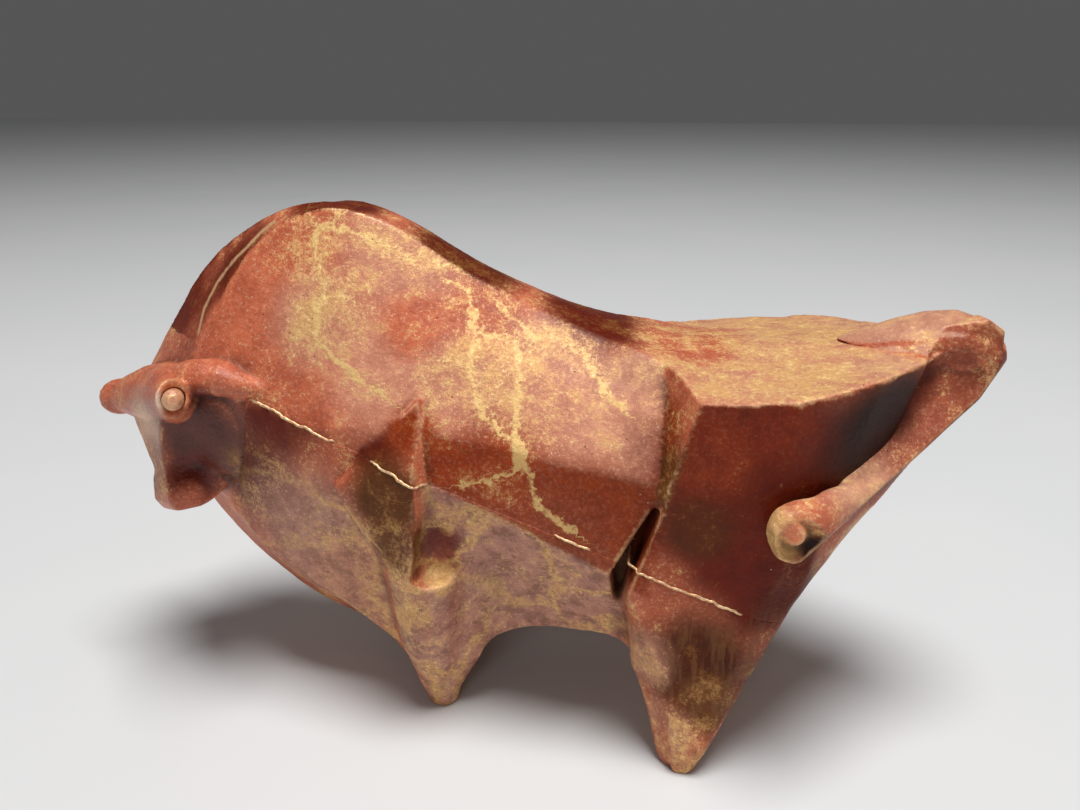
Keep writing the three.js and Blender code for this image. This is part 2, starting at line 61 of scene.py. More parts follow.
def at(x, y, z):
    """A place given in millimetres from the bull's own middle."""
    return Vector((x, y, z)) * MM + MIDDLE


# The parting plane of the two body castings, and how far from it their seam faces lie.
SEAM_SLOPE = math.radians(19.6)
SEAM_POINT = at(0, 0, 75.3)
SEAM_NORMAL = Vector((math.sin(SEAM_SLOPE), 0, math.cos(SEAM_SLOPE)))
SEAM_FACE = 0.6 * MM
NEAR_SEAM_FACE = 0.15 * MM
# Each skin runs on this far past its seam face, so that the two weld.
SEAM_OVERLAP = 0.75 * MM
# The upright joint behind the head, which ends at the top of the brow.
HEAD_YAW = math.radians(50)
HEAD_PLACE = at(-112, -16, 98)
JOINT_NORMAL = Vector((math.cos(HEAD_YAW), math.sin(HEAD_YAW), 0))
JOINT_POINT = HEAD_PLACE + JOINT_NORMAL * 9.5 * MM
NEAR_JOINT = 0.3 * MM
JOINT_OVERLAP = 0.7
BROW_TOP = at(0, 0, 116)
# The finished head runs on this far past the joint, so that no gap shows.
JOINT_LAP = 0.35 * MM
VENT_RADIUS = 2
VENT_CLEAR = 2.2 * MM

# The cells of each recast skin, and how many times its edges and its open faces are rubbed down.
BODY_GRAIN = 0.95 * MM
HEAD_GRAIN = 0.5 * MM
TAIL_GRAIN = 0.5 * MM
HORN_GRAIN = 0.3 * MM
EDGE_ROUNDS = 4
TAIL_ROUNDS = 9
HORN_ROUNDS = 8
OPEN_FACE_ROUNDS = 90
CREASE_REACH = 3.2
CREASE_START = 0.17
CREASE_RAMP = 0.06
HAND_WAVE = 0.55 * MM

SAME_POINT = 0.00001
ROUND_SIDES = 24
# A filled end has more sides than this, and a face of the skin has fewer than that.
FEWEST_END_SIDES = 12
MOST_SKIN_SIDES = 9


def put_down():
    bpy.ops.object.select_all(action="DESELECT")


def pick(piece):
    put_down()
    piece.select_set(True)
    bpy.context.view_layer.objects.active = piece


def edit(piece, mode="FACE"):
    """Into edit mode, with all of the piece selected."""
    pick(piece)
    bpy.ops.object.mode_set(mode="EDIT")
    bpy.ops.mesh.select_mode(type=mode)
    bpy.ops.mesh.select_all(action="SELECT")


def leave():
    bpy.ops.object.mode_set(mode="OBJECT")


def choose_faces(piece, test):
    """Into edit mode, with only the faces selected that pass."""
    edit(piece)
    bpy.ops.mesh.select_all(action="DESELECT")
    leave()
    for face in piece.data.polygons:
        face.select = test(face)
    bpy.ops.object.mode_set(mode="EDIT")


def apply_all(piece):
    pick(piece)
    for modifier in list(piece.modifiers):
        bpy.ops.object.modifier_apply(modifier=modifier.name)


def duplicate(mesh, name):
    piece = bpy.data.objects.new(name, mesh.copy())
    bpy.context.scene.collection.objects.link(piece)
    return piece


def casting_copy(node, name):
    piece = duplicate(frame["nodes"][node].data, name)
    piece.data.materials.clear()
    edit(piece, "VERT")
    bpy.ops.mesh.remove_doubles(threshold=SAME_POINT)
    leave()
    return piece


def weld(piece, *others, operation="UNION"):
    for other in others:
        modifier = piece.modifiers.new("weld", "BOOLEAN")
        modifier.operation = operation
        modifier.solver = "EXACT"
        modifier.object = other
        apply_all(piece)
        bpy.data.objects.remove(other)
    return piece


def slice_at(piece, place, side, **how):
    edit(piece)
    bpy.ops.mesh.bisect(plane_co=place, plane_no=side, **how)
    leave()


def settle(name):
    """Names the primitive just added, and takes its place, turn and size into its mesh."""
    piece = bpy.context.object
    piece.name = name
    bpy.ops.object.transform_apply(location=True, rotation=True, scale=True)
    return piece


def block(middle, sides, name):
    put_down()
    bpy.ops.mesh.primitive_cube_add(size=1, location=middle, scale=Vector(sides) * MM)
    return settle(name)


def turned_along(run):
    return run.to_track_quat("Z", "Y").to_euler()


def plug(start, end, radius, name):
    """A round bar from one place to another."""
    run = end - start
    put_down()
    bpy.ops.mesh.primitive_cylinder_add(vertices=ROUND_SIDES, radius=radius * MM, depth=run.length,
                                        location=(start + end) / 2, rotation=turned_along(run))
    return settle(name)


def spike(start, end, radius, tip, name):
    """A round bar that tapers from one radius to the other."""
    run = end - start
    put_down()
    bpy.ops.mesh.primitive_cone_add(vertices=ROUND_SIDES, radius1=radius * MM, radius2=tip * MM,
                                    depth=run.length, location=(start + end) / 2,
                                    rotation=turned_along(run))
    return settle(name)


def pad(middle, reach, lean, name):
    """An egg of metal that fills a hollow place: its reach along each axis, its lean about X."""
    put_down()
    bpy.ops.mesh.primitive_uv_sphere_add(segments=32, ring_count=20, radius=1, location=middle,
                                         rotation=(math.radians(lean), 0, 0),
                                         scale=Vector(reach) * MM)
    return settle(name)


def outer_skin(piece, offset):
    """Parts the outside of a hollow casting from its inside at the parting plane, and closes it."""
    def on_seam_face(face):
        height = (face.center - SEAM_POINT).dot(SEAM_NORMAL)
        square = abs(abs(face.normal.dot(SEAM_NORMAL)) - 1) < 0.0005
        return square and abs(height - offset) < NEAR_SEAM_FACE

    def on_vent(face):
        return (face.center - at(4, 0, 0)).xy.length < VENT_CLEAR and abs(face.normal.z) < 0.2

    choose_faces(piece, lambda face: on_seam_face(face) or on_vent(face))
    bpy.ops.mesh.delete(type="FACE")
    leave()
    farthest = max(piece.data.vertices, key=lambda v: (v.co - SEAM_POINT).length).index
    choose_faces(piece, lambda face: farthest in face.vertices)
    bpy.ops.mesh.select_linked()
    bpy.ops.mesh.select_all(action="INVERT")
    bpy.ops.mesh.delete(type="FACE")
    bpy.ops.mesh.select_all(action="SELECT")
    bpy.ops.mesh.fill_holes(sides=0)
    leave()
    choose_faces(piece, lambda face: on_seam_face(face) and len(face.vertices) > FEWEST_END_SIDES)
    shift = -math.copysign(SEAM_OVERLAP, offset)
    bpy.ops.mesh.extrude_region_move(TRANSFORM_OT_translate={"value": SEAM_NORMAL * shift})
    leave()
    edit(piece)
    bpy.ops.mesh.normals_make_consistent(inside=False)
    leave()
    return piece


def read_out(piece, what):
    flat = np.empty(len(piece.data.vertices) * 3)
    piece.data.vertices.foreach_get(what, flat)
    return flat.reshape(-1, 3)


def places(piece):
    return read_out(piece, "co")


def facings(piece):
    return read_out(piece, "normal")


def in_model(piece):
    """The vertices in millimetres from the bull's own middle."""
    return (places(piece) - np.array(MIDDLE)) / MM


def edge_ends(piece):
    ends = np.empty(len(piece.data.edges) * 2, dtype=np.int64)
    piece.data.edges.foreach_get("vertices", ends)
    return ends.reshape(-1, 2)


def smooth_step(values, low, high):
    t = np.clip((values - low) / (high - low), 0, 1)
    return t * t * (3 - 2 * t)


def stretch(values, rise, fall):
    """1 along a stretch of the body, from where it comes in to where it goes out."""
    return smooth_step(values, *rise) * (1 - smooth_step(values, *fall))


def band_foot(x):
    """Height of the band's lower edge, where the belly begins."""
    return 72.8 - 0.467 * x


def band_head(x):
    """Height of the band's upper edge, where the flank begins."""
    return 94.3 - 0.17 * x


def evened(piece, values, rounds):
    """Values on the vertices, each one averaged with its neighbours, a number of times."""
    ends = edge_ends(piece)
    here = np.concatenate((ends[:, 0], ends[:, 1]))
    there = np.concatenate((ends[:, 1], ends[:, 0]))
    size = len(piece.data.vertices)
    count = np.maximum(np.bincount(here, minlength=size), 1)

    def around(column):
        return np.bincount(here, column[there], size) / count

    for _ in range(rounds):
        if values.ndim == 1:
            values = 0.5 * values + 0.5 * around(values)
        else:
            values = 0.5 * values + 0.5 * np.stack([around(column) for column in values.T], axis=1)
    return values


def ridges(piece, grain, reach):
    """How far each vertex stands out of the surface round it: ridges above 0, hollows below."""
    here = places(piece)
    rounds = max(2, round(2 * (reach * MM / grain) ** 2))
    return np.einsum("ij,ij->i", here - evened(piece, here, rounds), facings(piece)) / MM


def weigh(piece, name, strength, steps=10):
    """A group with the strength of each vertex, in even steps."""
    group = piece.vertex_groups.new(name=name)
    level = np.round(strength * steps).astype(int)
    for step in range(1, steps + 1):
        group.add(np.nonzero(level == step)[0].tolist(), step / steps, "REPLACE")
    return name


def apply_weighed(piece, modifier, group):
    modifier.vertex_group = group
    apply_all(piece)
    piece.vertex_groups.remove(piece.vertex_groups[group])


def rubbing(piece, rounds):
    modifier = piece.modifiers.new("rub", "SMOOTH")
    modifier.factor = 0.5
    modifier.iterations = rounds
    return modifier


def recast(piece, grain, rounds, open_rounds=0):
    """An even skin, its edges rounded and its open faces evened, as hand finishing leaves it."""
    modifier = piece.modifiers.new("skin", "REMESH")
    modifier.mode = "VOXEL"
    modifier.voxel_size = grain
    rubbing(piece, rounds)
    apply_all(piece)
    if open_rounds:
        crease = np.abs(ridges(piece, grain, CREASE_REACH))
        crease = np.maximum(crease, evened(piece, crease, 6))
        open_face = evened(piece, np.clip((CREASE_START - crease) / CREASE_RAMP, 0, 1), 2)
        group = weigh(piece, "open_faces", open_face)
        apply_weighed(piece, rubbing(piece, open_rounds), group)
    return piece


def soften_spot(piece, middle, reach, rounds):
    """Rubs one place down: middle and reach in millimetres, the reach along each axis."""
    away = np.linalg.norm((in_model(piece) - np.array(middle)) / np.array(reach), axis=1)
    group = weigh(piece, "spot", 1 - smooth_step(away, 0.45, 1))
    apply_weighed(piece, rubbing(piece, rounds), group)


def meet_body(piece, body):
    """Brings the head's neck end onto the body's surface, so that no step shows at the joint."""
    here = (places(piece) - np.array(JOINT_POINT)) @ np.array(JOINT_NORMAL) / MM
    group = weigh(piece, "neck_end", 1 - smooth_step(np.abs(here), 1.5, 6), steps=20)
    modifier = piece.modifiers.new("meet", "SHRINKWRAP")
    modifier.target = body
    modifier.wrap_method = "NEAREST_SURFACEPOINT"
    apply_weighed(piece, modifier, group)


# The belly's turn under itself, below the band: its slope, its most, and its share of lift.
BELLY_SLOPE = 0.30
BELLY_MOST = 7.5
BELLY_HALF = 40
BELLY_LIFT = 0.4


def tuck_in_belly(piece):
    """Below the band the belly turns in under itself, from a crisp edge."""
    here = in_model(piece)
    below = np.maximum(0, band_foot(here[:, 0]) - here[:, 2])
    share = stretch(here[:, 0], (-22, -8), (25, 33))
    turned_in = share * np.minimum(below * BELLY_SLOPE, BELLY_MOST)
    here[:, 1] *= 1 - turned_in / BELLY_HALF
    here[:, 2] -= turned_in * BELLY_LIFT
    piece.data.vertices.foreach_set("co", (here * MM + np.array(MIDDLE)).ravel())
    piece.data.update()


# Between the haunch's side and the hollow behind it, the edge of the deck is cut to a chord.
CORNER_PLACE = at(70, -41.5, 115)
CORNER_FACING = Vector((0.423, -0.904, -0.058))
CORNER_PROUD = 1.4
# Behind the point of the deck the rump falls back to the tail's inner face.
DECK_POINT = at(106, -20, 121)
SCOOP_SIDE = Vector((0.903, -0.341, -0.26))
STRAP_PLACE = at(112.4, -8, 115)
STRAP_FACING = Vector((0.19, -0.879, 0.438))
STRAP_SINK = 1.0


def corner_cutter():
    piece = block(at(86, -44, 104), (60, 50, 56), "corner_cutter")
    slice_at(piece, CORNER_PLACE + CORNER_FACING * CORNER_PROUD * MM, CORNER_FACING,
             clear_inner=True, use_fill=True)
    return piece


def scoop_cutter():
    piece = block(at(120, -20, 112), (60, 60, 60), "scoop_cutter")
    slice_at(piece, DECK_POINT, SCOOP_SIDE, clear_inner=True, use_fill=True)
    slice_at(piece, STRAP_PLACE - STRAP_FACING * STRAP_SINK * MM, STRAP_FACING,
             clear_inner=True, use_fill=True)
    return piece


# The wide part of the tail, from the deck round to the thigh: the outer and the inner edge of its
# inner face.
STRAP_RUN = [
    ((85.0, -3.0, 117.4), (88.0, -10.0, 116.4)),
    ((100.0, -6.0, 123.4), (99.0, -16.5, 118.2)),
    ((112.7, -9.0, 127.3), (104.8, -18.0, 117.4)),
    ((122.6, -10.0, 129.2), (106.0, -13.5, 115.6)),
    ((127.3, -9.5, 126.0), (105.6, -12.5, 113.2)),
    ((127.6, -9.5, 119.0), (104.3, -13.0, 110.4)),
    ((124.9, -11.0, 111.1), (100.8, -15.5, 106.0)),
    ((118.8, -15.5, 103.0), (95.6, -19.5, 101.0)),
    ((109.4, -22.0, 95.4), (89.0, -25.5, 96.6)),
    ((97.6, -31.0, 89.7), (85.5, -33.0, 91.6)),
    ((86.9, -39.0, 86.4), (80.5, -40.0, 87.6)),
]
STRAP_THICKNESS = 6

# The flat cuts along the tail's lower side: a point and the way out of each.
TAIL_TRIMS = [
    ((124.3, -12, 111), (0.822, -0.419, -0.387)),
    ((116.9, -12, 99.7), (0.707, -0.437, -0.556)),
    ((98.7, -12, 76.9), (0.709, -0.435, -0.554)),
]


def tail_strap():
    """A blade: its inner face runs between two edges, and has a wall behind it."""
    count = len(STRAP_RUN)
    put_down()
    bpy.ops.mesh.primitive_grid_add(x_subdivisions=count - 1, y_subdivisions=1, size=1)
    piece = bpy.context.object
    piece.name = "tail_strap"
    for index, (outer, inner) in enumerate(STRAP_RUN):
        piece.data.vertices[index].co = at(*inner)
        piece.data.vertices[count + index].co = at(*outer)
    piece.data.update()
    if piece.data.polygons[count // 2].normal.dot(STRAP_FACING) < 0:
        edit(piece)
        bpy.ops.mesh.flip_normals()
        leave()
    modifier = piece.modifiers.new("wall", "SOLIDIFY")
    modifier.thickness = STRAP_THICKNESS * MM
    modifier.offset = -1
    apply_all(piece)
    return piece


def tuft_cutter():
    put_down()
    bpy.ops.mesh.primitive_uv_sphere_add(segments=32, ring_count=20, radius=8.5 * MM,
                                         location=at(74.4, -54.6, 79.3))
    return settle("tuft_cutter")


hand_wave = bpy.data.textures.new("hand_wave", "CLOUDS")
hand_wave.noise_scale = 0.017
hand_wave.noise_depth = 1


def by_hand(piece):
    """The slight waves of a model that was cut and rubbed down by hand."""
    modifier = piece.modifiers.new("waves", "DISPLACE")
    modifier.texture = hand_wave
    modifier.texture_coords = "LOCAL"
    modifier.strength = HAND_WAVE
    modifier.mid_level = 0.5
    apply_all(piece)


# Places that are rubbed down further: middle, reach along each axis, and how many times.
SPOTS_ON_BOTH_SIDES = [((86, -34, 86), (15, 15, 25), 160), ((90, -20, 66), (13, 13, 15), 220),
                       ((-18.5, -26, 9), (8, 12, 12), 320)]
SPOT_BEHIND_HAUNCH = ((78, -36, 100), (20, 14, 11), 120)
SPOTS_ON_CHEEK = [((-94, -26, 90), (15, 9, 12), 420), ((-106, -26, 76), (16, 15, 13), 130),
                  ((-96.5, -20, 71), (9, 9, 11), 500)]

upper_skin = outer_skin(casting_copy("upper_casting", "upper_skin"), SEAM_FACE)
lower_skin = outer_skin(casting_copy("lower_casting", "lower_skin"), -SEAM_FACE)
head_skin = casting_copy("head_casting", "head_skin")
for v in head_skin.data.vertices:
    if abs((v.co - JOINT_POINT).dot(JOINT_NORMAL)) < NEAR_JOINT:
        v.co += JOINT_NORMAL * JOINT_OVERLAP * MM
whole = weld(upper_skin, lower_skin, head_skin,
             plug(at(-113, -17, 97), at(-94, -1.5, 96), 5.9, "tenon_plug"),
             plug(at(106, 0, 111), at(119, 0, 111), 4.6, "tail_plug"),
             spike(at(-89, -28.2, 108.8), at(-71, -28.2, 105.2), 5.3, 0.9, "nape_tip"),
             pad(at(-93.5, -22.2, 90), (13, 5, 15), 9, "cheek_pad"))
whole.name = "whole_bull"
head_block = weld(duplicate(whole.data, "head_block"),
                  block(at(-115, -10, 95), (80, 120, 120), "head_room"), operation="INTERSECT")
weld(whole, scoop_cutter(), corner_cutter(), operation="DIFFERENCE")
recast(whole, BODY_GRAIN, EDGE_ROUNDS, OPEN_FACE_ROUNDS)
recast(head_block, HEAD_GRAIN, round(EDGE_ROUNDS * (BODY_GRAIN / HEAD_GRAIN) ** 2))
tuck_in_belly(whole)
for side in (1, -1):
    for (x, y, z), reach, rounds in SPOTS_ON_BOTH_SIDES:
        soften_spot(whole, (x, y * side, z), reach, rounds)
soften_spot(whole, *SPOT_BEHIND_HAUNCH)
for spot in SPOTS_ON_CHEEK:
    soften_spot(head_block, *spot)
by_hand(whole)
by_hand(head_block)
meet_body(head_block, whole)


def srgb(*channels):
    """A colour as a paint chart gives it, 0 to 255, made linear."""
    return tuple(c / 255 / 12.92 if c <= 10 else ((c / 255 + 0.055) / 1.055) ** 2.4
                 for c in channels)


RED = srgb(208, 110, 76)
SALMON = srgb(224, 152, 122)
DEEP_RED = srgb(106, 28, 8)
ORANGE = srgb(160, 62, 20)
BAND_RED = srgb(164, 62, 14)
BAND_DEEP = srgb(148, 56, 14)
BROWN_RED = srgb(106, 29, 6)
PLUM = srgb(118, 60, 46)
LILAC = srgb(200, 148, 128)
ROSE = srgb(214, 154, 124)
OLIVE = srgb(118, 68, 28)
UMBER = srgb(42, 16, 10)
GOLD = srgb(234, 184, 122)
BRIGHT_GOLD = srgb(246, 210, 138)
OLD_GOLD = srgb(206, 156, 98)
SILVER = srgb(222, 214, 206)

# Which way the faces of each part of the body look.
OUT = (0.1, -0.85, 0.5)
SIDE = (0, -1, 0)
DOWN_OUT = (0, -0.85, -0.5)
FRONT = (-0.8, -0.6, 0)
FACET = (-0.75, -0.65, 0)
INNER_TAIL = (0.19, -0.88, 0.44)
UP = (0, 0, 1)
ANY = None

# The coats on the side that shows, in the order they went on: middle, reach in millimetres, colour,
# share of gold leaf, which way the faces look that take it, and whether the far side gets it too.
COATS = [
    # crest, flank and back
    ((-40, -20, 135), 90, RED, 0.38, OUT, True),
    ((-84.5, -18.7, 129.9), 20, RED, 0.22, OUT, True),
    ((-86.9, -22, 118), 18, RED, 0.12, OUT, True),
    ((-58, -15, 142), 20, RED, 0.50, OUT, True),
    ((-60, -22, 126), 17, SALMON, 0.60, OUT, True),
    ((-38, -12, 145), 22, SALMON, 0.50, OUT, True),
    ((-38, -28, 113), 22, SALMON, 0.42, OUT, True),
    ((-32, -22, 125), 12, RED, 0.30, OUT, True),
    ((-15, -31, 107), 20, SALMON, 0.72, OUT, True),
    ((4, -26, 112), 20, SALMON, 0.66, OUT, True),
    ((10, -18, 119), 16, SALMON, 0.60, OUT, True),
    ((8, -34, 98), 20, SALMON, 0.50, OUT, True),
    ((-16, -36, 100), 14, SALMON, 0.54, OUT, True),
    ((30, -26, 112), 15, ROSE, 0.48, OUT, True),
    ((28, -34, 99), 18, srgb(234, 164, 132), 0.50, OUT, True),
    ((-20, -3, 143), 20, BROWN_RED, 0.45, UP, True),
    ((20, 0, 126), 22, BROWN_RED, 0.42, UP, True),
    ((-60, 0, 154), 16, BROWN_RED, 0.25, UP, True),
    ((-108, -2, 122), 26, DEEP_RED, 0.12, (-1, 0, 0.3), True),
    ((-95, 0, 140), 26, BROWN_RED, 0.25, (-1, 0, 0.4), True),
    # band
    ((-8, -39, 84), 24, ORANGE, 0.30, SIDE, True),
    ((18, -40, 78), 20, BAND_DEEP, 0.14, SIDE, True),
    ((30, -40, 76), 12, BAND_DEEP, 0.12, SIDE, True),
    ((-22, -38, 89), 9, ORANGE, 0.42, SIDE, True),
    # neck, shoulder and brisket
    ((-70, -28, 100), 18, DEEP_RED, 0.12, FRONT, True),
    ((-96, -22, 92), 20, PLUM, 0.12, FRONT, True),
    ((-84, -26, 78), 20, PLUM, 0.46, DOWN_OUT, True),
    ((-62, -30, 58), 30, LILAC, 0.34, DOWN_OUT, True),
    ((-50, -30, 42), 24, ROSE, 0.40, DOWN_OUT, True),
    ((-42, -37, 96), 12, DEEP_RED, 0.10, FRONT, True),
    ((-30, -38, 100), 9, ORANGE, 0.30, SIDE, True),
    ((-37, -41, 80), 15, srgb(104, 58, 22), 0.34, SIDE, True),
    ((-34, -41, 66), 12, OLIVE, 0.50, ANY, True),
    # belly and foreleg
    ((0, -34, 58), 34, LILAC, 0.40, DOWN_OUT, True),
    ((-22, -30, 66), 12, LILAC, 0.16, DOWN_OUT, True),
    ((12, -36, 56), 18, ROSE, 0.56, DOWN_OUT, True),
    ((-32, -38, 44), 15, ROSE, 0.66, SIDE, True),
    ((-31, -34, 24), 15, LILAC, 0.48, SIDE, True),
    ((-30, -31, 8), 10, ROSE, 0.42, SIDE, True),
    # haunch, deck and hind leg
    ((62, -42, 90), 40, BROWN_RED, 0.10, SIDE, True),
    ((50, -42, 100), 15, srgb(140, 48, 14), 0.14, SIDE, True),
    ((70, -42, 106), 12, srgb(132, 42, 12), 0.08, SIDE, True),
    ((58, -42, 68), 14, DEEP_RED, 0.12, SIDE, True),
    ((48, -42, 78), 11, srgb(98, 42, 12), 0.16, SIDE, True),
    ((66, -42, 56), 12, DEEP_RED, 0.10, SIDE, True),
    ((38, -37, 92), 13, OLIVE, 0.46, FACET, True),
    ((35, -34, 104), 10, ORANGE, 0.45, FACET, True),
    ((34, -34, 74), 11, BROWN_RED, 0.30, FACET, True),
    ((70, -20, 116), 40, SALMON, 0.74, UP, True),
    ((44, 6, 118), 18, RED, 0.60, UP, True),
    ((96, -22, 117), 12, ROSE, 0.56, UP, True),
    ((108, -10, 118), 12, RED, 0.40, UP, True),
    # Painted shade: these two umber coats darken the hollow behind the haunch, under the deck's
    # point, where shadow falls; the first goes on both sides of the rump.
    ((96, -26, 102), 26, UMBER, 0.0, (0.85, -0.5, -0.15), True),
    ((104, -18, 98), 16, UMBER, 0.04, ANY, False),
    ((50, -43, 36), 20, srgb(82, 32, 8), 0.22, SIDE, True),
    ((55, -43, 24), 12, OLIVE, 0.40, SIDE, True),
    ((42, -40, 12), 12, ROSE, 0.66, SIDE, True),
    ((34, -40, 36), 12, ROSE, 0.50, (-0.7, -0.7, 0), True),
    ((72, -38, 60), 15, BROWN_RED, 0.30, (0.8, -0.6, 0), True),
    ((70, -30, 30), 24, PLUM, 0.35, (0.9, -0.3, 0), True),
    # underside, between the legs
    ((0, 0, 34), 60, PLUM, 0.25, (0, 0, -1), False),
]
# Small touches that go on last.
TOUCHES = [
    ((-24, -33, 66), 9, srgb(128, 58, 50), 0.10, ANY, True),
    ((-24, -31, 58), 7, srgb(170, 90, 76), 0.20, ANY, True),
    ((-25, -35, 53.0), 5.5, GOLD, 1.0, ANY, True),
    # Painted shade: an umber touch darkens the haunch's front face inside the cleft.
    ((30, -32, 64), 7, UMBER, 0.0, (-0.9, -0.2, 0), True),
    # Painted shade: a small umber spot where the hind foot meets the floor.
    ((44.2, -43.8, 1.2), 1.5, UMBER, 0.0, ANY, True),
]
HEAD_COATS = [
    ((-128, 4, 108), 34, RED, 0.34, ANY, False),
    ((-104, -40, 110), 15, RED, 0.28, ANY, False),
    ((-94, -27, 112), 14, RED, 0.30, (0, -0.3, 1), False),
    # Painted shade: a deep red coat on the downward faces under the nape leaf.
    ((-95, -27, 104), 9, DEEP_RED, 0.06, (0.2, -0.7, -0.7), False),
    ((-112, -20, 92), 14, srgb(240, 190, 152), 0.26, (-0.9, -0.5, 0), False),
    ((-113, -24, 78), 12, ORANGE, 0.44, (-0.85, -0.5, 0), False),
    ((-98, -25, 91), 17, srgb(98, 48, 38), 0.04, (0.1, -0.95, 0), False),
    ((-104, -26, 75), 11, DEEP_RED, 0.16, (0.35, -0.9, 0), False),
    ((-106, -26, 69), 7, RED, 0.22, ANY, False),
    # Painted highlight: a silver patch on the near horn's collar.
    ((-97.5, -43.5, 107), 4.5, SILVER, 0.0, ANY, False),
]
TAIL_COATS = [
    ((110, -10, 100), 90, RED, 0.36, ANY, False),
    ((122, -8, 114), 20, srgb(166, 86, 60), 0.34, INNER_TAIL, False),
    ((106, -20, 98), 18, srgb(172, 92, 66), 0.42, INNER_TAIL, False),
    # Painted shade: the next two darker coats continue the shade of the hollow under the deck's
    # point.
    ((98, -16, 105), 10, srgb(96, 40, 26), 0.16, ANY, False),
    ((104, -13, 113), 9, srgb(110, 48, 32), 0.20, ANY, False),
    ((90, -36, 88), 15, ROSE, 0.46, ANY, False),
    ((100, 0, 123), 30, ROSE, 0.40, UP, False),
    ((130, -4, 100), 30, DEEP_RED, 0.20, (0.85, -0.4, -0.3), False),
    # Painted shade: a brown-red coat on the downward faces of the tail near the tuft.
    ((92, -34, 78), 16, BROWN_RED, 0.16, (0.5, -0.5, -0.7), False),
    ((68, -48, 80), 9, GOLD, 0.85, ANY, False),
    # Painted shade: these two umber coats darken the tuft's cup and the shadow beside it.
    ((77.5, -48, 77), 6, UMBER, 0.0, ANY, False),
    ((81, -48, 75), 6, UMBER, 0.0, ANY, False),
    ((71.3, -50.5, 82.4), 4.4, srgb(214, 130, 92), 0.30, ANY, False),
    ((120, 6, 96), 24, PLUM, 0.30, (0.6, 0.5, -0.6), False),
]
# The ridge between the flank and the narrow face along the crest, in side view: a pale gold line,
# partly rubbed gold and partly a painted highlight.
CREST_RIDGE = [(-100, 119), (-99.3, 125.3), (-95.8, 132.5), (-90.5, 138.8), (-84.8, 143.8),
               (-81, 147.9), (-76.4, 151.2), (-70.5, 153.5), (-63, 155), (-55, 155.1),
               (-47.8, 152.9), (-39.8, 149.9), (-30.7, 144.6), (-20.2, 138.3)]
# The gold veins on the side that shows and on the far side, in side view.
SEEN_VEINS = [
    [(-66.1, 153.4), (-62.6, 150.3), (-63.1, 144.5), (-60.4, 138.6), (-58.4, 133.7), (-60.1, 127),
     (-60.1, 121.5), (-55.5, 117.6), (-49, 112.7), (-40.1, 107.9)],
    [(-57, 152.7), (-61.7, 150), (-50.4, 149.3), (-44.2, 145.4), (-38.1, 143.3), (-31, 141.8),
     (-22, 138.1)],
    [(-23.7, 134.8), (-18.8, 132.9), (-17, 129.7), (-17.1, 124.8), (-12, 121.9), (-4.2, 121.8)],
    [(-10.3, 129.9), (-4.8, 125.5), (-0.7, 122.5), (7.9, 121.1), (16, 117), (21, 110), (27, 106)],
    [(-4.2, 121.8), (-3.1, 116), (-2.1, 107), (-1.4, 98), (-0.3, 91), (-8.4, 86.9), (-16, 85)],
    [(-15.5, 119.8), (-15.6, 113.7), (-12.8, 106.1), (-6.5, 100.2), (0, 97.4), (2, 90), (5, 80),
     (14, 74)],
]
FAR_VEINS = [
    [(-84, 140), (-76, 133), (-74, 126), (-66, 121), (-63, 112), (-54, 108), (-50, 100)],
    [(-66, 152), (-55, 146), (-50, 138), (-40, 133), (-30, 130), (-27, 122), (-17, 119)],
    [(-20, 134), (-11, 130), (-8, 123), (2, 119), (10, 117), (14, 110), (24, 106)],
    [(-30, 130), (-31, 120), (-27, 112), (-29, 104), (-24, 97), (-25, 88)],
    [(2, 119), (3, 110), (0, 103), (4, 94), (2, 86), (10, 78)],
    [(48, 112), (52, 102), (50, 94), (57, 84), (55, 74), (62, 64)],
]

def spray(piece, coats, tint, leaf):
    """Lays the coats over one another, each soft at its edge, on the faces that look its way."""
    here = in_model(piece)
    look = facings(piece)
    for middle, reach, colour, gold, facing, both_sides in coats:
        for side in ((1, -1) if both_sides else (1,)):
            away = np.linalg.norm(here - np.array(middle) * (1, side, 1), axis=1)
            cover = 1 - smooth_step(away, reach * 0.45, reach * 1.15)
            if facing is not None:
                toward = np.array(facing) * (1, side, 1)
                cover = cover * smooth_step(look @ (toward / np.linalg.norm(toward)), 0.62, 0.80)
            tint += cover[:, None] * (np.array(colour) - tint)
            leaf += cover * (gold - leaf)


FAR_OFF = 60.0


def signed_reach(points, run):
    """Distance from each point to a run of straight lengths, with a sign for its side."""
    best = np.full(len(points), FAR_OFF)
    value = np.full(len(points), FAR_OFF)
    for start, end in zip(run[:-1], run[1:]):
        start = np.array(start, dtype=float)
        line = np.array(end) - start
        length = np.linalg.norm(line)
        line = line / length
        offset = points - start
        along = np.clip(offset @ line, 0, length)
        across = offset[:, 0] * line[1] - offset[:, 1] * line[0]
        away = np.linalg.norm(offset - along[:, None] * line, axis=1)
        closer = away < best
        best = np.where(closer, away, best)
        value = np.where(closer, np.where(across < 0, -away, away), value)
    return value


def note(piece, name, values):
    """Writes one number or colour for each vertex, for the paint to read."""
    if values.ndim == 1:
        attribute = piece.data.attributes.new(name, "FLOAT", "POINT")
        attribute.data.foreach_set("value", values.astype(np.float32))
    else:
        attribute = piece.data.attributes.new(name, "FLOAT_COLOR", "POINT")
        colours = np.concatenate((values, np.ones((len(values), 1))), axis=1)
        attribute.data.foreach_set("color", colours.astype(np.float32).ravel())


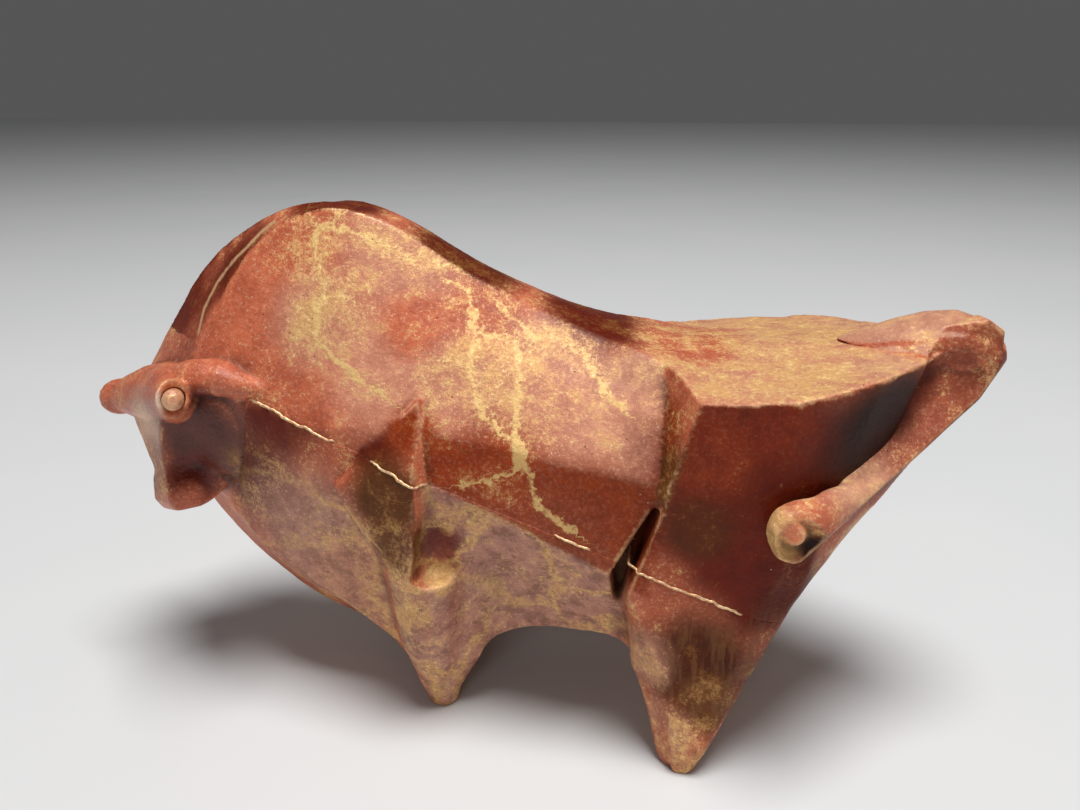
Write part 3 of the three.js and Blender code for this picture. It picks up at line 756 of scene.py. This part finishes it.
# Where the belly's web and the band above it come in and go out along the body, how thickly each
# is painted over the coats, and how much gold each takes.
SIDE_START = (14, 22)
WEB_IN, WEB_OUT = (-29, -25), (27, 31)
WEB_COVER = 0.8
WEB_GOLD = 0.36
BAND_IN, BAND_OUT = (-27, -24), (34, 38)
BAND_COVER = 0.9
BAND_GOLD = 0.30
BAND_GOLD_LOSS = 0.2
BAND_TURN = (0, 16)
# The shelf of the elbow notch is kept from the darkening in the hollows.
SHELF = (-25, 35, 53.5)
RIDGE_REACH = 1.25
RIDGE_GAIN = 1.5
HOLLOW_REACH = 4.5


def lay_web_and_band(here, tint, leaf):
    x, z = here[:, 0], here[:, 2]
    flat_side = smooth_step(np.abs(here[:, 1]), *SIDE_START)
    over_foot = smooth_step(z - band_foot(x), -0.8, 0.8)
    under_head = 1 - smooth_step(z - band_head(x), -0.8, 0.8)
    web = stretch(x, WEB_IN, WEB_OUT) * flat_side * (1 - over_foot) * WEB_COVER
    tint += web[:, None] * (np.array(LILAC) - tint)
    leaf += web * (WEB_GOLD - leaf)
    band = BAND_COVER * (stretch(x, BAND_IN, BAND_OUT) * flat_side * over_foot * under_head)
    turn = smooth_step(x, *BAND_TURN)[:, None]
    band_colour = np.array(BAND_RED) + turn * (np.array(BAND_DEEP) - np.array(BAND_RED))
    tint += band[:, None] * (band_colour - tint)
    leaf += band * (BAND_GOLD - BAND_GOLD_LOSS * smooth_step(x, -4, 14) - leaf)
    return web


def mark_out(piece, grain, coats, ground, ground_gold, veins=False):
    """What the lacquer follows: a piece's coats, ridges and hollows, and where its veins run."""
    here = in_model(piece)
    look = facings(piece)
    tint = np.tile(np.array(ground), (len(here), 1))
    leaf = np.full(len(here), float(ground_gold))
    spray(piece, coats, tint, leaf)
    web = lay_web_and_band(here, tint, leaf)
    spray(piece, TOUCHES, tint, leaf)
    note(piece, "tint", tint)
    note(piece, "leaf", leaf)
    note(piece, "ridge", ridges(piece, grain, RIDGE_REACH) * RIDGE_GAIN)
    hollow = -evened(piece, ridges(piece, grain, HOLLOW_REACH), 3)
    for side in (-1, 1):
        shelf = np.linalg.norm(here - np.array(SHELF) * (1, side, 1), axis=1)
        hollow -= 1.2 * (1 - smooth_step(shelf, 3, 7))
    note(piece, "hollow", hollow)
    underneath = smooth_step(-look[:, 2], 0.0, 0.3) * smooth_step(92 - here[:, 2], 0, 12)
    note(piece, "net", np.maximum(underneath, web) * smooth_step(here[:, 0], -96, -88))
    low_thigh = smooth_step(here[:, 0], 36, 46) * smooth_step(62 - here[:, 2], 0, 20)
    note(piece, "streaks", low_thigh * smooth_step(-look[:, 1], 0.3, 0.7))
    if veins:
        side_view = here[:, [0, 2]]
        note(piece, "crest_ridge", np.where(np.abs(look[:, 1]) > 0.42,
                                            signed_reach(side_view, CREST_RIDGE), FAR_OFF))
        for index, (seen, far) in enumerate(zip(SEEN_VEINS, FAR_VEINS)):
            value = np.where(here[:, 1] < 0, signed_reach(side_view, seen),
                             signed_reach(side_view, far))
            note(piece, "vein_%d" % index, value)


def above_seam(place):
    return (place - SEAM_POINT).dot(SEAM_NORMAL) > 0


def on_head(place, lap=0):
    return (place - JOINT_POINT).dot(JOINT_NORMAL) < lap and place.z < BROW_TOP.z + lap


def keep(piece, test):
    """Only the faces that pass, with the open side closed again."""
    choose_faces(piece, lambda face: not test(face.center))
    bpy.ops.mesh.delete(type="FACE")
    bpy.ops.mesh.select_all(action="SELECT")
    bpy.ops.mesh.fill_holes(sides=0)
    leave()
    for polygon in piece.data.polygons:
        polygon.use_smooth = len(polygon.vertices) < MOST_SKIN_SIDES
    return piece


ON_SEAM = 0.012 * MM


def parting_line(piece):
    """The points of the longest loop in the parting plane, in order."""
    here = places(piece)
    height = (here - np.array(SEAM_POINT)) @ np.array(SEAM_NORMAL)
    ends = edge_ends(piece)
    ends = ends[(np.abs(height[ends]) < ON_SEAM).all(axis=1)]
    beside = {}
    for a, b in ends.tolist():
        beside.setdefault(a, []).append(b)
        beside.setdefault(b, []).append(a)
    loops = []
    left = set(beside)
    while left:
        now = left.pop()
        loop = [now]
        while True:
            onward = [v for v in beside[now] if v in left]
            if not onward:
                break
            now = onward[0]
            left.discard(now)
            loop.append(now)
        loops.append(loop)
    return [Vector(here[v]) for v in max(loops, key=len)]


mark_out(whole, BODY_GRAIN, COATS, RED, 0.35, veins=True)
mark_out(head_block, HEAD_GRAIN, COATS + HEAD_COATS, RED, 0.3)
for piece, lap in ((whole, 0), (head_block, JOINT_LAP)):
    slice_at(piece, JOINT_POINT + JOINT_NORMAL * lap, JOINT_NORMAL, threshold=SAME_POINT)
    slice_at(piece, BROW_TOP + Vector((0, 0, lap)), UP, threshold=SAME_POINT)
slice_at(whole, SEAM_POINT, SEAM_NORMAL, threshold=SAME_POINT)
seam_run = parting_line(whole)
upper_body = keep(duplicate(whole.data, "upper_body"),
                  lambda place: above_seam(place) and not on_head(place))
lower_body = keep(whole, lambda place: not above_seam(place) and not on_head(place))
lower_body.name = "lower_body"
weld(lower_body, plug(at(4, 0, 30), at(4, 0, 40), VENT_RADIUS, "vent_drill"),
     operation="DIFFERENCE")
head = keep(head_block, lambda place: on_head(place, JOINT_LAP))
head.name = "head"

tail = weld(casting_copy("tail_casting", "tail"), tail_strap(),
            pad(at(116.5, -7.2, 119.8), (9.5, 5.3, 7.5), 0, "tip_pad"))
for place, way_out in TAIL_TRIMS:
    slice_at(tail, at(*place), way_out, clear_outer=True, use_fill=True, threshold=SAME_POINT)
weld(tail, tuft_cutter(), operation="DIFFERENCE")
weld(tail, spike(at(72.0, -42, 79.8), at(71.3, -51.0, 82.6), 3.8, 2.7, "tuft_core"))
recast(tail, TAIL_GRAIN, TAIL_ROUNDS)
by_hand(tail)
mark_out(tail, TAIL_GRAIN, TAIL_COATS, ROSE, 0.4)

horn_stubs = [recast(casting_copy("horn_tip_" + side, "horn_stub_" + side), HORN_GRAIN, HORN_ROUNDS)
              for side in ("left", "right")]
for stub in horn_stubs:
    mark_out(stub, HORN_GRAIN, [], SALMON, 0.45)

# Where the braze stands proud of the lacquer: the middle of each stretch, its reach along the
# body, and its height.
PROUD_BRAZE = [(-68, 16, 1.0), (-34, 9, 0.9), (6, 5, 0.25), (15.5, 7, 0.8), (38, 9, 0.8),
               (53, 9, 1.0), (92, 12, 0.6)]
BRAZE_RADIUS = 0.42
# It ends this far from the head, and lies this deep where it is sunk and inside the cleft.
BRAZE_START = 0.8
SUNK_DEPTH = 1.1
CLEFT_DEPTH = 2.5
CLEFT_HALF = 40.5 * MM


def seam_bead(run, name):
    """The thin braze in the parting line: jagged where it stands proud, and sunk elsewhere."""
    middle = sum(run, Vector()) / len(run)
    on_body = [(place - JOINT_POINT).dot(JOINT_NORMAL) > BRAZE_START * MM for place in run]
    first = next(i for i in range(len(run)) if on_body[i] and not on_body[i - 1])
    in_turn = [(first + step) % len(run) for step in range(len(run))]
    run = [run[i] for i in in_turn if on_body[i]]
    curve = bpy.data.curves.new(name, "CURVE")
    curve.dimensions = "3D"
    curve.bevel_depth = BRAZE_RADIUS * MM
    curve.bevel_resolution = 2
    curve.use_fill_caps = True
    spline = curve.splines.new("POLY")
    spline.points.add(len(run) - 1)
    for index, place in enumerate(run):
        x = (place.x - MIDDLE.x) / MM
        proud = max([0] + [height * max(0, 1 - ((x - centre) / reach) ** 2) ** 0.4
                           for centre, reach, height in PROUD_BRAZE])
        along = run[min(index + 2, len(run) - 1)] - run[max(index - 2, 0)]
        out = along.cross(SEAM_NORMAL).normalized()
        if out.dot(place - middle) < 0:
            out = -out
        wander = noise.noise(place * 260) * 1.0 + noise.noise(place * 900) * 0.45
        swell = 0.8 + 0.5 * noise.noise(place * 420)
        depth = SUNK_DEPTH - 1.15 * min(1, proud * 1.6)
        if 20 < x < 45 and abs(place.y - MIDDLE.y) < CLEFT_HALF:
            depth = CLEFT_DEPTH
        point = place + SEAM_NORMAL * wander * proud * MM - out * depth * MM
        spline.points[index].co = (*point, 1)
        spline.points[index].radius = 0.55 + 0.55 * proud * swell
    piece = bpy.data.objects.new(name, curve)
    bpy.context.scene.collection.objects.link(piece)
    pick(piece)
    bpy.ops.object.convert(target="MESH")
    piece = bpy.context.object
    edit(piece, "VERT")
    bpy.ops.mesh.remove_doubles(threshold=SAME_POINT / 2)
    bpy.ops.mesh.normals_make_consistent(inside=False)
    leave()
    return piece


braze = seam_bead(seam_run, "braze_line")
for piece in (braze, tail, *horn_stubs):
    pick(piece)
    bpy.ops.object.shade_smooth()


class Finish:
    """One finish, mixed from layers; lengths in it are millimetres on the piece."""

    def __init__(self, name):
        self.material = bpy.data.materials.new(name)
        self.material.use_nodes = True
        self.tree = self.material.node_tree
        self.shader = self.tree.nodes["Principled BSDF"]
        scale = self.add("ShaderNodeVectorMath")
        scale.operation = "SCALE"
        self.plug_in(scale.inputs[0], self.add("ShaderNodeTexCoord").outputs["Object"])
        scale.inputs["Scale"].default_value = 1 / MM
        self.place = scale.outputs[0]

    def add(self, kind):
        return self.tree.nodes.new(kind)

    def plug_in(self, socket, value):
        if isinstance(value, bpy.types.NodeSocket):
            self.tree.links.new(value, socket)
        elif isinstance(value, tuple) and socket.type == "RGBA":
            socket.default_value = (*value, 1)
        else:
            socket.default_value = value

    def set_to(self, **sockets):
        """Plain numbers on the shader's own sockets, such as Metallic=0.5."""
        for name, value in sockets.items():
            self.shader.inputs[name.replace("_", " ")].default_value = value

    def maths(self, operation, *values):
        node = self.add("ShaderNodeMath")
        node.operation = operation
        for socket, value in zip(node.inputs, values):
            self.plug_in(socket, value)
        return node.outputs[0]

    def plus(self, one, other):
        return self.maths("ADD", one, other)

    def times(self, one, other):
        return self.maths("MULTIPLY", one, other)

    def most(self, one, other):
        return self.maths("MAXIMUM", one, other)

    def rest(self, value):
        return self.maths("SUBTRACT", 1.0, value)

    def sway(self, cloud, amount, base=0.0):
        """A value moved up and down by a cloud's swing about its middle."""
        return self.maths("MULTIPLY_ADD", self.maths("SUBTRACT", cloud, 0.5), amount, base)

    def fade(self, value, low, high, bottom=0.0, top=1.0):
        node = self.add("ShaderNodeMapRange")
        node.interpolation_type = "SMOOTHSTEP"
        for socket, each in zip(node.inputs, (value, low, high, bottom, top)):
            self.plug_in(socket, each)
        return node.outputs[0]

    def cloud(self, size, detail=4.0, roughness=0.6, place=None, colour=False):
        node = self.add("ShaderNodeTexNoise")
        self.plug_in(node.inputs["Vector"], place or self.place)
        node.inputs["Scale"].default_value = 1 / size
        node.inputs["Detail"].default_value = detail
        node.inputs["Roughness"].default_value = roughness
        return node.outputs["Color" if colour else "Fac"]

    def cells(self, size, place, feature="F1"):
        node = self.add("ShaderNodeTexVoronoi")
        node.feature = feature
        self.plug_in(node.inputs["Vector"], place)
        node.inputs["Scale"].default_value = 1 / size
        return node

    def stretched(self, ways):
        node = self.add("ShaderNodeVectorMath")
        node.operation = "MULTIPLY"
        self.plug_in(node.inputs[0], self.place)
        node.inputs[1].default_value = ways
        return node.outputs[0]

    def shifted(self, amount, size):
        """The place on the piece, moved about by a cloud."""
        node = self.add("ShaderNodeVectorMath")
        node.operation = "MULTIPLY_ADD"
        self.plug_in(node.inputs[0], self.cloud(size, 3, 0.6, colour=True))
        node.inputs[1].default_value = (amount, amount, amount)
        self.plug_in(node.inputs[2], self.place)
        return node.outputs[0]

    def noted(self, name, colour=False):
        node = self.add("ShaderNodeAttribute")
        node.attribute_name = name
        return node.outputs["Color" if colour else "Fac"]

    def mix(self, amount, under, over, way="MIX"):
        node = self.add("ShaderNodeMix")
        node.data_type = "RGBA"
        node.blend_type = way
        self.plug_in(node.inputs[0], amount)
        self.plug_in(node.inputs[6], under)
        self.plug_in(node.inputs[7], over)
        return node.outputs[2]

    def relief(self, *heights):
        """Bumps, each with its height in millimetres, one on the other."""
        normal = None
        for height, depth in heights:
            node = self.add("ShaderNodeBump")
            node.inputs["Distance"].default_value = depth * MM
            self.plug_in(node.inputs["Height"], height)
            if normal:
                self.plug_in(node.inputs["Normal"], normal)
            normal = node.outputs[0]
        self.plug_in(self.shader.inputs["Normal"], normal)


WORN_EDGE_AND_HIGHLIGHT = srgb(232, 184, 146)
DUSTY_GOLD = srgb(150, 122, 84)
BROWN_SMUDGE = srgb(104, 62, 48)
BROWN_STROKE = srgb(126, 84, 48)
# The colour of the painted glints, small pale flecks that stand in for sparkling highlights.
PAINTED_GLINT = srgb(250, 214, 184)
PALE_SPECK = srgb(232, 206, 184)
LACQUER_SHADE = (0.74, 0.68, 0.68)
GRAIN_LENGTH = (1, 1, 0.16)


def scattered(coat, size, place, dot, share):
    """Small round marks, on only a share of their cells."""
    cells = coat.cells(size, place)
    mark = coat.rest(coat.fade(cells.outputs["Distance"], *dot))
    turn, *chosen = share
    lot = coat.fade(coat.maths("FRACT", coat.times(cells.outputs["Color"], turn)), *chosen)
    return coat.times(mark, lot)


def rubbed_lacquer(name, veins=0, gloss=0.36, edge_wear_and_highlight_gold=0.6, shine=0.12):
    """Red lacquer over bronze, mottled and veined with gold leaf, rubbed through on its ridges,
    with painted highlights along the ridges and painted glints.
    """
    coat = Finish(name)
    broad = coat.cloud(24, 3, 0.55)
    blotch = coat.cloud(7.5, 9, 0.70)
    dust = coat.cloud(1.15, 6, 0.75)
    fine = coat.cloud(0.42, 3, 0.7)

    # How much gold leaf there is: mottling, then veins with a glow round them, then a net.
    level = coat.plus(coat.times(blotch, 0.50), coat.times(dust, 0.36))
    level = coat.plus(level, coat.times(broad, 0.14))
    level = coat.sway(coat.noted("leaf"), 0.26, level)
    level = coat.sway(fine, 0.22, level)
    leafed = coat.fade(level, 0.470, 0.600)
    if veins:
        jag = coat.sway(dust, 2.6, coat.sway(coat.cloud(3.4, 4, 0.65), 7.0))
        away = [coat.maths("ABSOLUTE", coat.plus(coat.noted("vein_%d" % index), jag))
                for index in range(veins)]
        thread = away[0]
        for each in away[1:]:
            thread = coat.maths("MINIMUM", thread, each)
        width = coat.fade(coat.cloud(9, 2, 0.5), 0.35, 0.65, 0.05, 0.85)
        line = coat.rest(coat.fade(coat.maths("SUBTRACT", thread, width), -0.1, 0.75))
        line = coat.times(line, coat.fade(coat.plus(blotch, dust), 0.84, 1.02, 0.45, 1.0))
        glow = coat.rest(coat.fade(thread, 0.5, 7.0))
        glow = coat.times(glow, coat.fade(level, 0.46, 0.54, 0.0, 0.75))
        leafed = coat.most(leafed, coat.most(line, glow))
    net = coat.cells(30, coat.shifted(16, 9), "DISTANCE_TO_EDGE").outputs["Distance"]
    net = coat.times(coat.rest(coat.fade(net, 0.015, 0.085)), coat.noted("net"))
    net = coat.times(net, coat.fade(dust, 0.36, 0.52))
    leafed = coat.most(leafed, coat.times(net, 0.9))

    # The gold's own colours, dusty on dark lacquer.
    powder = coat.plus(coat.times(fine, 0.5), coat.times(dust, 0.5))
    gold = coat.mix(coat.fade(powder, 0.40, 0.60), OLD_GOLD, GOLD)
    gold = coat.mix(coat.fade(coat.cloud(2.6, 4, 0.7), 0.50, 0.66), gold, BRIGHT_GOLD)
    if veins:
        gold = coat.mix(coat.times(line, 0.6), gold, BRIGHT_GOLD)
    ground = coat.noted("tint", colour=True)
    to_grey = coat.add("ShaderNodeRGBToBW")
    coat.plug_in(to_grey.inputs[0], ground)
    light = to_grey.outputs[0]
    paleness = coat.fade(light, 0.02, 0.16)
    gold = coat.mix(paleness, coat.mix(1.0, gold, DUSTY_GOLD, "MULTIPLY"), gold)

    # The lacquer: blotches, bloom, grains, smudges, brush strokes down the thigh, and painted
    # glints.
    ground = coat.mix(coat.fade(blotch, 0.62, 0.38), ground, LACQUER_SHADE, "MULTIPLY")
    bloom = coat.times(coat.fade(dust, 0.46, 0.68, 0.0, 0.32), paleness)
    ground = coat.mix(bloom, ground, SALMON)
    ground = coat.mix(coat.fade(fine, 0.58, 0.74, 0.0, 0.35), ground, UMBER)
    smudge = coat.fade(coat.cloud(5, 6, 0.7), 0.54, 0.40, 0.0, 0.5)
    ground = coat.mix(coat.times(smudge, coat.noted("net")), ground, BROWN_SMUDGE)
    stroke = coat.cloud(1.6, 4, 0.65, place=coat.stretched(GRAIN_LENGTH))
    stroke = coat.times(coat.fade(stroke, 0.44, 0.64, 0.0, 0.5), coat.noted("streaks"))
    ground = coat.mix(stroke, ground, BROWN_STROKE)
    # Painted glints: small pale flecks on the paler lacquer stand in for sparkling highlights.
    painted_glint = coat.plus(coat.times(fine, 0.6), coat.times(dust, 0.4))
    painted_glint = coat.times(coat.fade(painted_glint, 0.555, 0.64, 0.0, 0.5), coat.fade(light, 0.09, 0.24))
    paint = coat.mix(coat.times(leafed, 0.92), ground, gold)
    paint = coat.mix(painted_glint, paint, PAINTED_GLINT)

    # Pale gold on the ridges, partly wear and partly painted highlight; darker in the hollows; pale
    # specks and pits.
    # The pale ridge colour is partly rubbed gold and partly a painted highlight along the edges.
    edge_wear_and_highlight = coat.sway(dust, 0.30, coat.noted("ridge"))
    edge_wear_and_highlight = coat.times(coat.fade(edge_wear_and_highlight, 0.09, 0.26), edge_wear_and_highlight_gold)
    edge_wear_and_highlight = coat.times(edge_wear_and_highlight, coat.fade(blotch, 0.40, 0.60, 0.25, 1.0))
    if veins:
        # The crest ridge line: partly rubbed gold, partly a painted highlight along the ridge.
        crest = coat.sway(coat.cloud(2.2, 3, 0.6), 0.9, coat.noted("crest_ridge"))
        crest = coat.rest(coat.fade(coat.maths("ABSOLUTE", crest), 0.2, 0.8))
        crest = coat.times(crest, coat.fade(blotch, 0.36, 0.52, 0.35, 0.95))
        edge_wear_and_highlight = coat.most(edge_wear_and_highlight, crest)
    paint = coat.mix(edge_wear_and_highlight, paint, coat.mix(dust, GOLD, WORN_EDGE_AND_HIGHLIGHT))
    # Darker towards umber in the hollows, the deeper the hollow.
    hollow_darkening = coat.fade(coat.noted("hollow"), 0.18, 0.9, 0.0, 0.55)
    paint = coat.mix(hollow_darkening, paint, UMBER)
    speck = scattered(coat, 3.6, coat.shifted(1.5, 2), (0.035, 0.075), (7.3, 0.80, 0.82))
    paint = coat.mix(coat.times(speck, 0.75), paint, PALE_SPECK)
    pit = scattered(coat, 2.3, coat.shifted(1.2, 3), (0.05, 0.13), (5.7, 0.84, 0.86))
    paint = coat.mix(coat.times(pit, 0.7), paint, UMBER)
    coat.plug_in(coat.shader.inputs["Base Color"], paint)

    rough = coat.fade(blotch, 0.35, 0.65, gloss - 0.05, gloss + 0.08)
    for layer, gain in ((leafed, 0.10), (edge_wear_and_highlight, -0.06), (hollow_darkening, 0.2)):
        rough = coat.maths("MULTIPLY_ADD", layer, gain, rough)
    coat.plug_in(coat.shader.inputs["Roughness"], rough)
    metal = coat.most(coat.times(leafed, 0.22), coat.times(edge_wear_and_highlight, 0.4))
    coat.plug_in(coat.shader.inputs["Metallic"], metal)
    coat.set_to(Specular_IOR_Level=shine, Coat_Weight=0.06, Coat_Roughness=0.28)
    coat.relief((coat.cloud(1.4, 4, 0.6), 0.42), (fine, 0.06), (leafed, 0.035),
                (coat.times(pit, -1.0), 0.15), (speck, 0.05))
    return coat.material


def bare_braze():
    metal = Finish("pale_braze")
    dust = metal.cloud(0.8, 4, 0.7)
    colour = metal.mix(metal.fade(dust, 0.4, 0.6), srgb(214, 160, 112), srgb(246, 216, 170))
    metal.plug_in(metal.shader.inputs["Base Color"], colour)
    metal.plug_in(metal.shader.inputs["Roughness"], metal.fade(dust, 0.3, 0.7, 0.30, 0.48))
    metal.set_to(Metallic=0.5)
    metal.relief((dust, 0.1))
    return metal.material


def turned_steel():
    metal = Finish("turned_steel")
    rings = metal.cloud(0.5, 3, 0.6)
    colour = metal.mix(rings, srgb(150, 148, 144), srgb(186, 184, 180))
    metal.plug_in(metal.shader.inputs["Base Color"], colour)
    metal.plug_in(metal.shader.inputs["Roughness"], metal.fade(rings, 0.3, 0.7, 0.28, 0.42))
    metal.set_to(Metallic=1.0)
    metal.relief((rings, 0.03))
    return metal.material


def pale_table():
    table = Finish("pale_table")
    colour = table.mix(table.cloud(160, 2, 0.5), srgb(216, 217, 218), srgb(224, 224, 223))
    table.plug_in(table.shader.inputs["Base Color"], colour)
    table.set_to(Roughness=0.6)
    return table.material


VEINS = len(SEEN_VEINS)
horn_bronze = rubbed_lacquer("worn_horn_bronze", gloss=0.28, edge_wear_and_highlight_gold=0.8, shine=0.5)
# Each visible piece: the finish it shows, the casting it stands for, and that casting's slot.
PIECES = [
    (upper_body, rubbed_lacquer("rubbed_red_lacquer", VEINS), "upper_casting", "red_lacquer"),
    (lower_body, rubbed_lacquer("plum_and_gold_lacquer", VEINS, gloss=0.42, edge_wear_and_highlight_gold=0.5),
     "lower_casting", "dark_lacquer"),
    (head, rubbed_lacquer("head_lacquer", gloss=0.30, edge_wear_and_highlight_gold=0.45, shine=0.32),
     "head_casting", "dark_lacquer"),
    (tail, rubbed_lacquer("tail_lacquer", edge_wear_and_highlight_gold=0.5), "tail_casting", "dark_lacquer"),
    (braze, bare_braze(), "braze_joint", "braze"),
    (horn_stubs[0], horn_bronze, "horn_tip_left", "worn_bronze"),
    (horn_stubs[1], horn_bronze, "horn_tip_right", "worn_bronze"),
]
for piece, finish, casting, slot in PIECES:
    piece.data.materials.clear()
    piece.data.materials.append(finish)
    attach(piece, "root")
    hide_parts(casting)
steel = turned_steel()
for corner in ("fore_left", "fore_right", "hind_left", "hind_right"):
    for material_slot in frame["nodes"]["locating_pin_" + corner].material_slots:
        material_slot.material = steel

scene = bpy.context.scene
scene.view_settings.view_transform = "Standard"
lens = bpy.data.cameras.new("camera")
lens.lens = 30
lens.sensor_width = 36
camera = bpy.data.objects.new("camera", lens)
camera.location = at(36.2, -257.7, 190)
camera.rotation_euler = (math.radians(70), 0, math.radians(8))
scene.collection.objects.link(camera)
scene.camera = camera

put_down()
bpy.ops.mesh.primitive_plane_add(size=8, location=(0, 0, 0))
floor = bpy.context.object
floor.name = "floor"
floor.data.materials.append(pale_table())

world = bpy.data.worlds.new("studio")
scene.world = world
world.use_nodes = True
backdrop = world.node_tree.nodes["Background"]
backdrop.inputs["Color"].default_value = (0.92, 0.92, 0.92, 1)
backdrop.inputs["Strength"].default_value = 0.10


def lamp(name, place, size, watts):
    """A round soft light, turned to the bull's flank."""
    light = bpy.data.lights.new(name, "AREA")
    light.shape = "DISK"
    light.size = size
    light.energy = watts
    holder = bpy.data.objects.new(name, light)
    holder.location = place
    holder.rotation_euler = (at(0, 0, 90) - place).to_track_quat("-Z", "Y").to_euler()
    scene.collection.objects.link(holder)


lamp("ceiling_light", Vector((0.20, -0.30, 2.1)), size=0.9, watts=47)
lamp("window_light", Vector((-0.15, -1.75, 0.95)), size=0.6, watts=3.5)
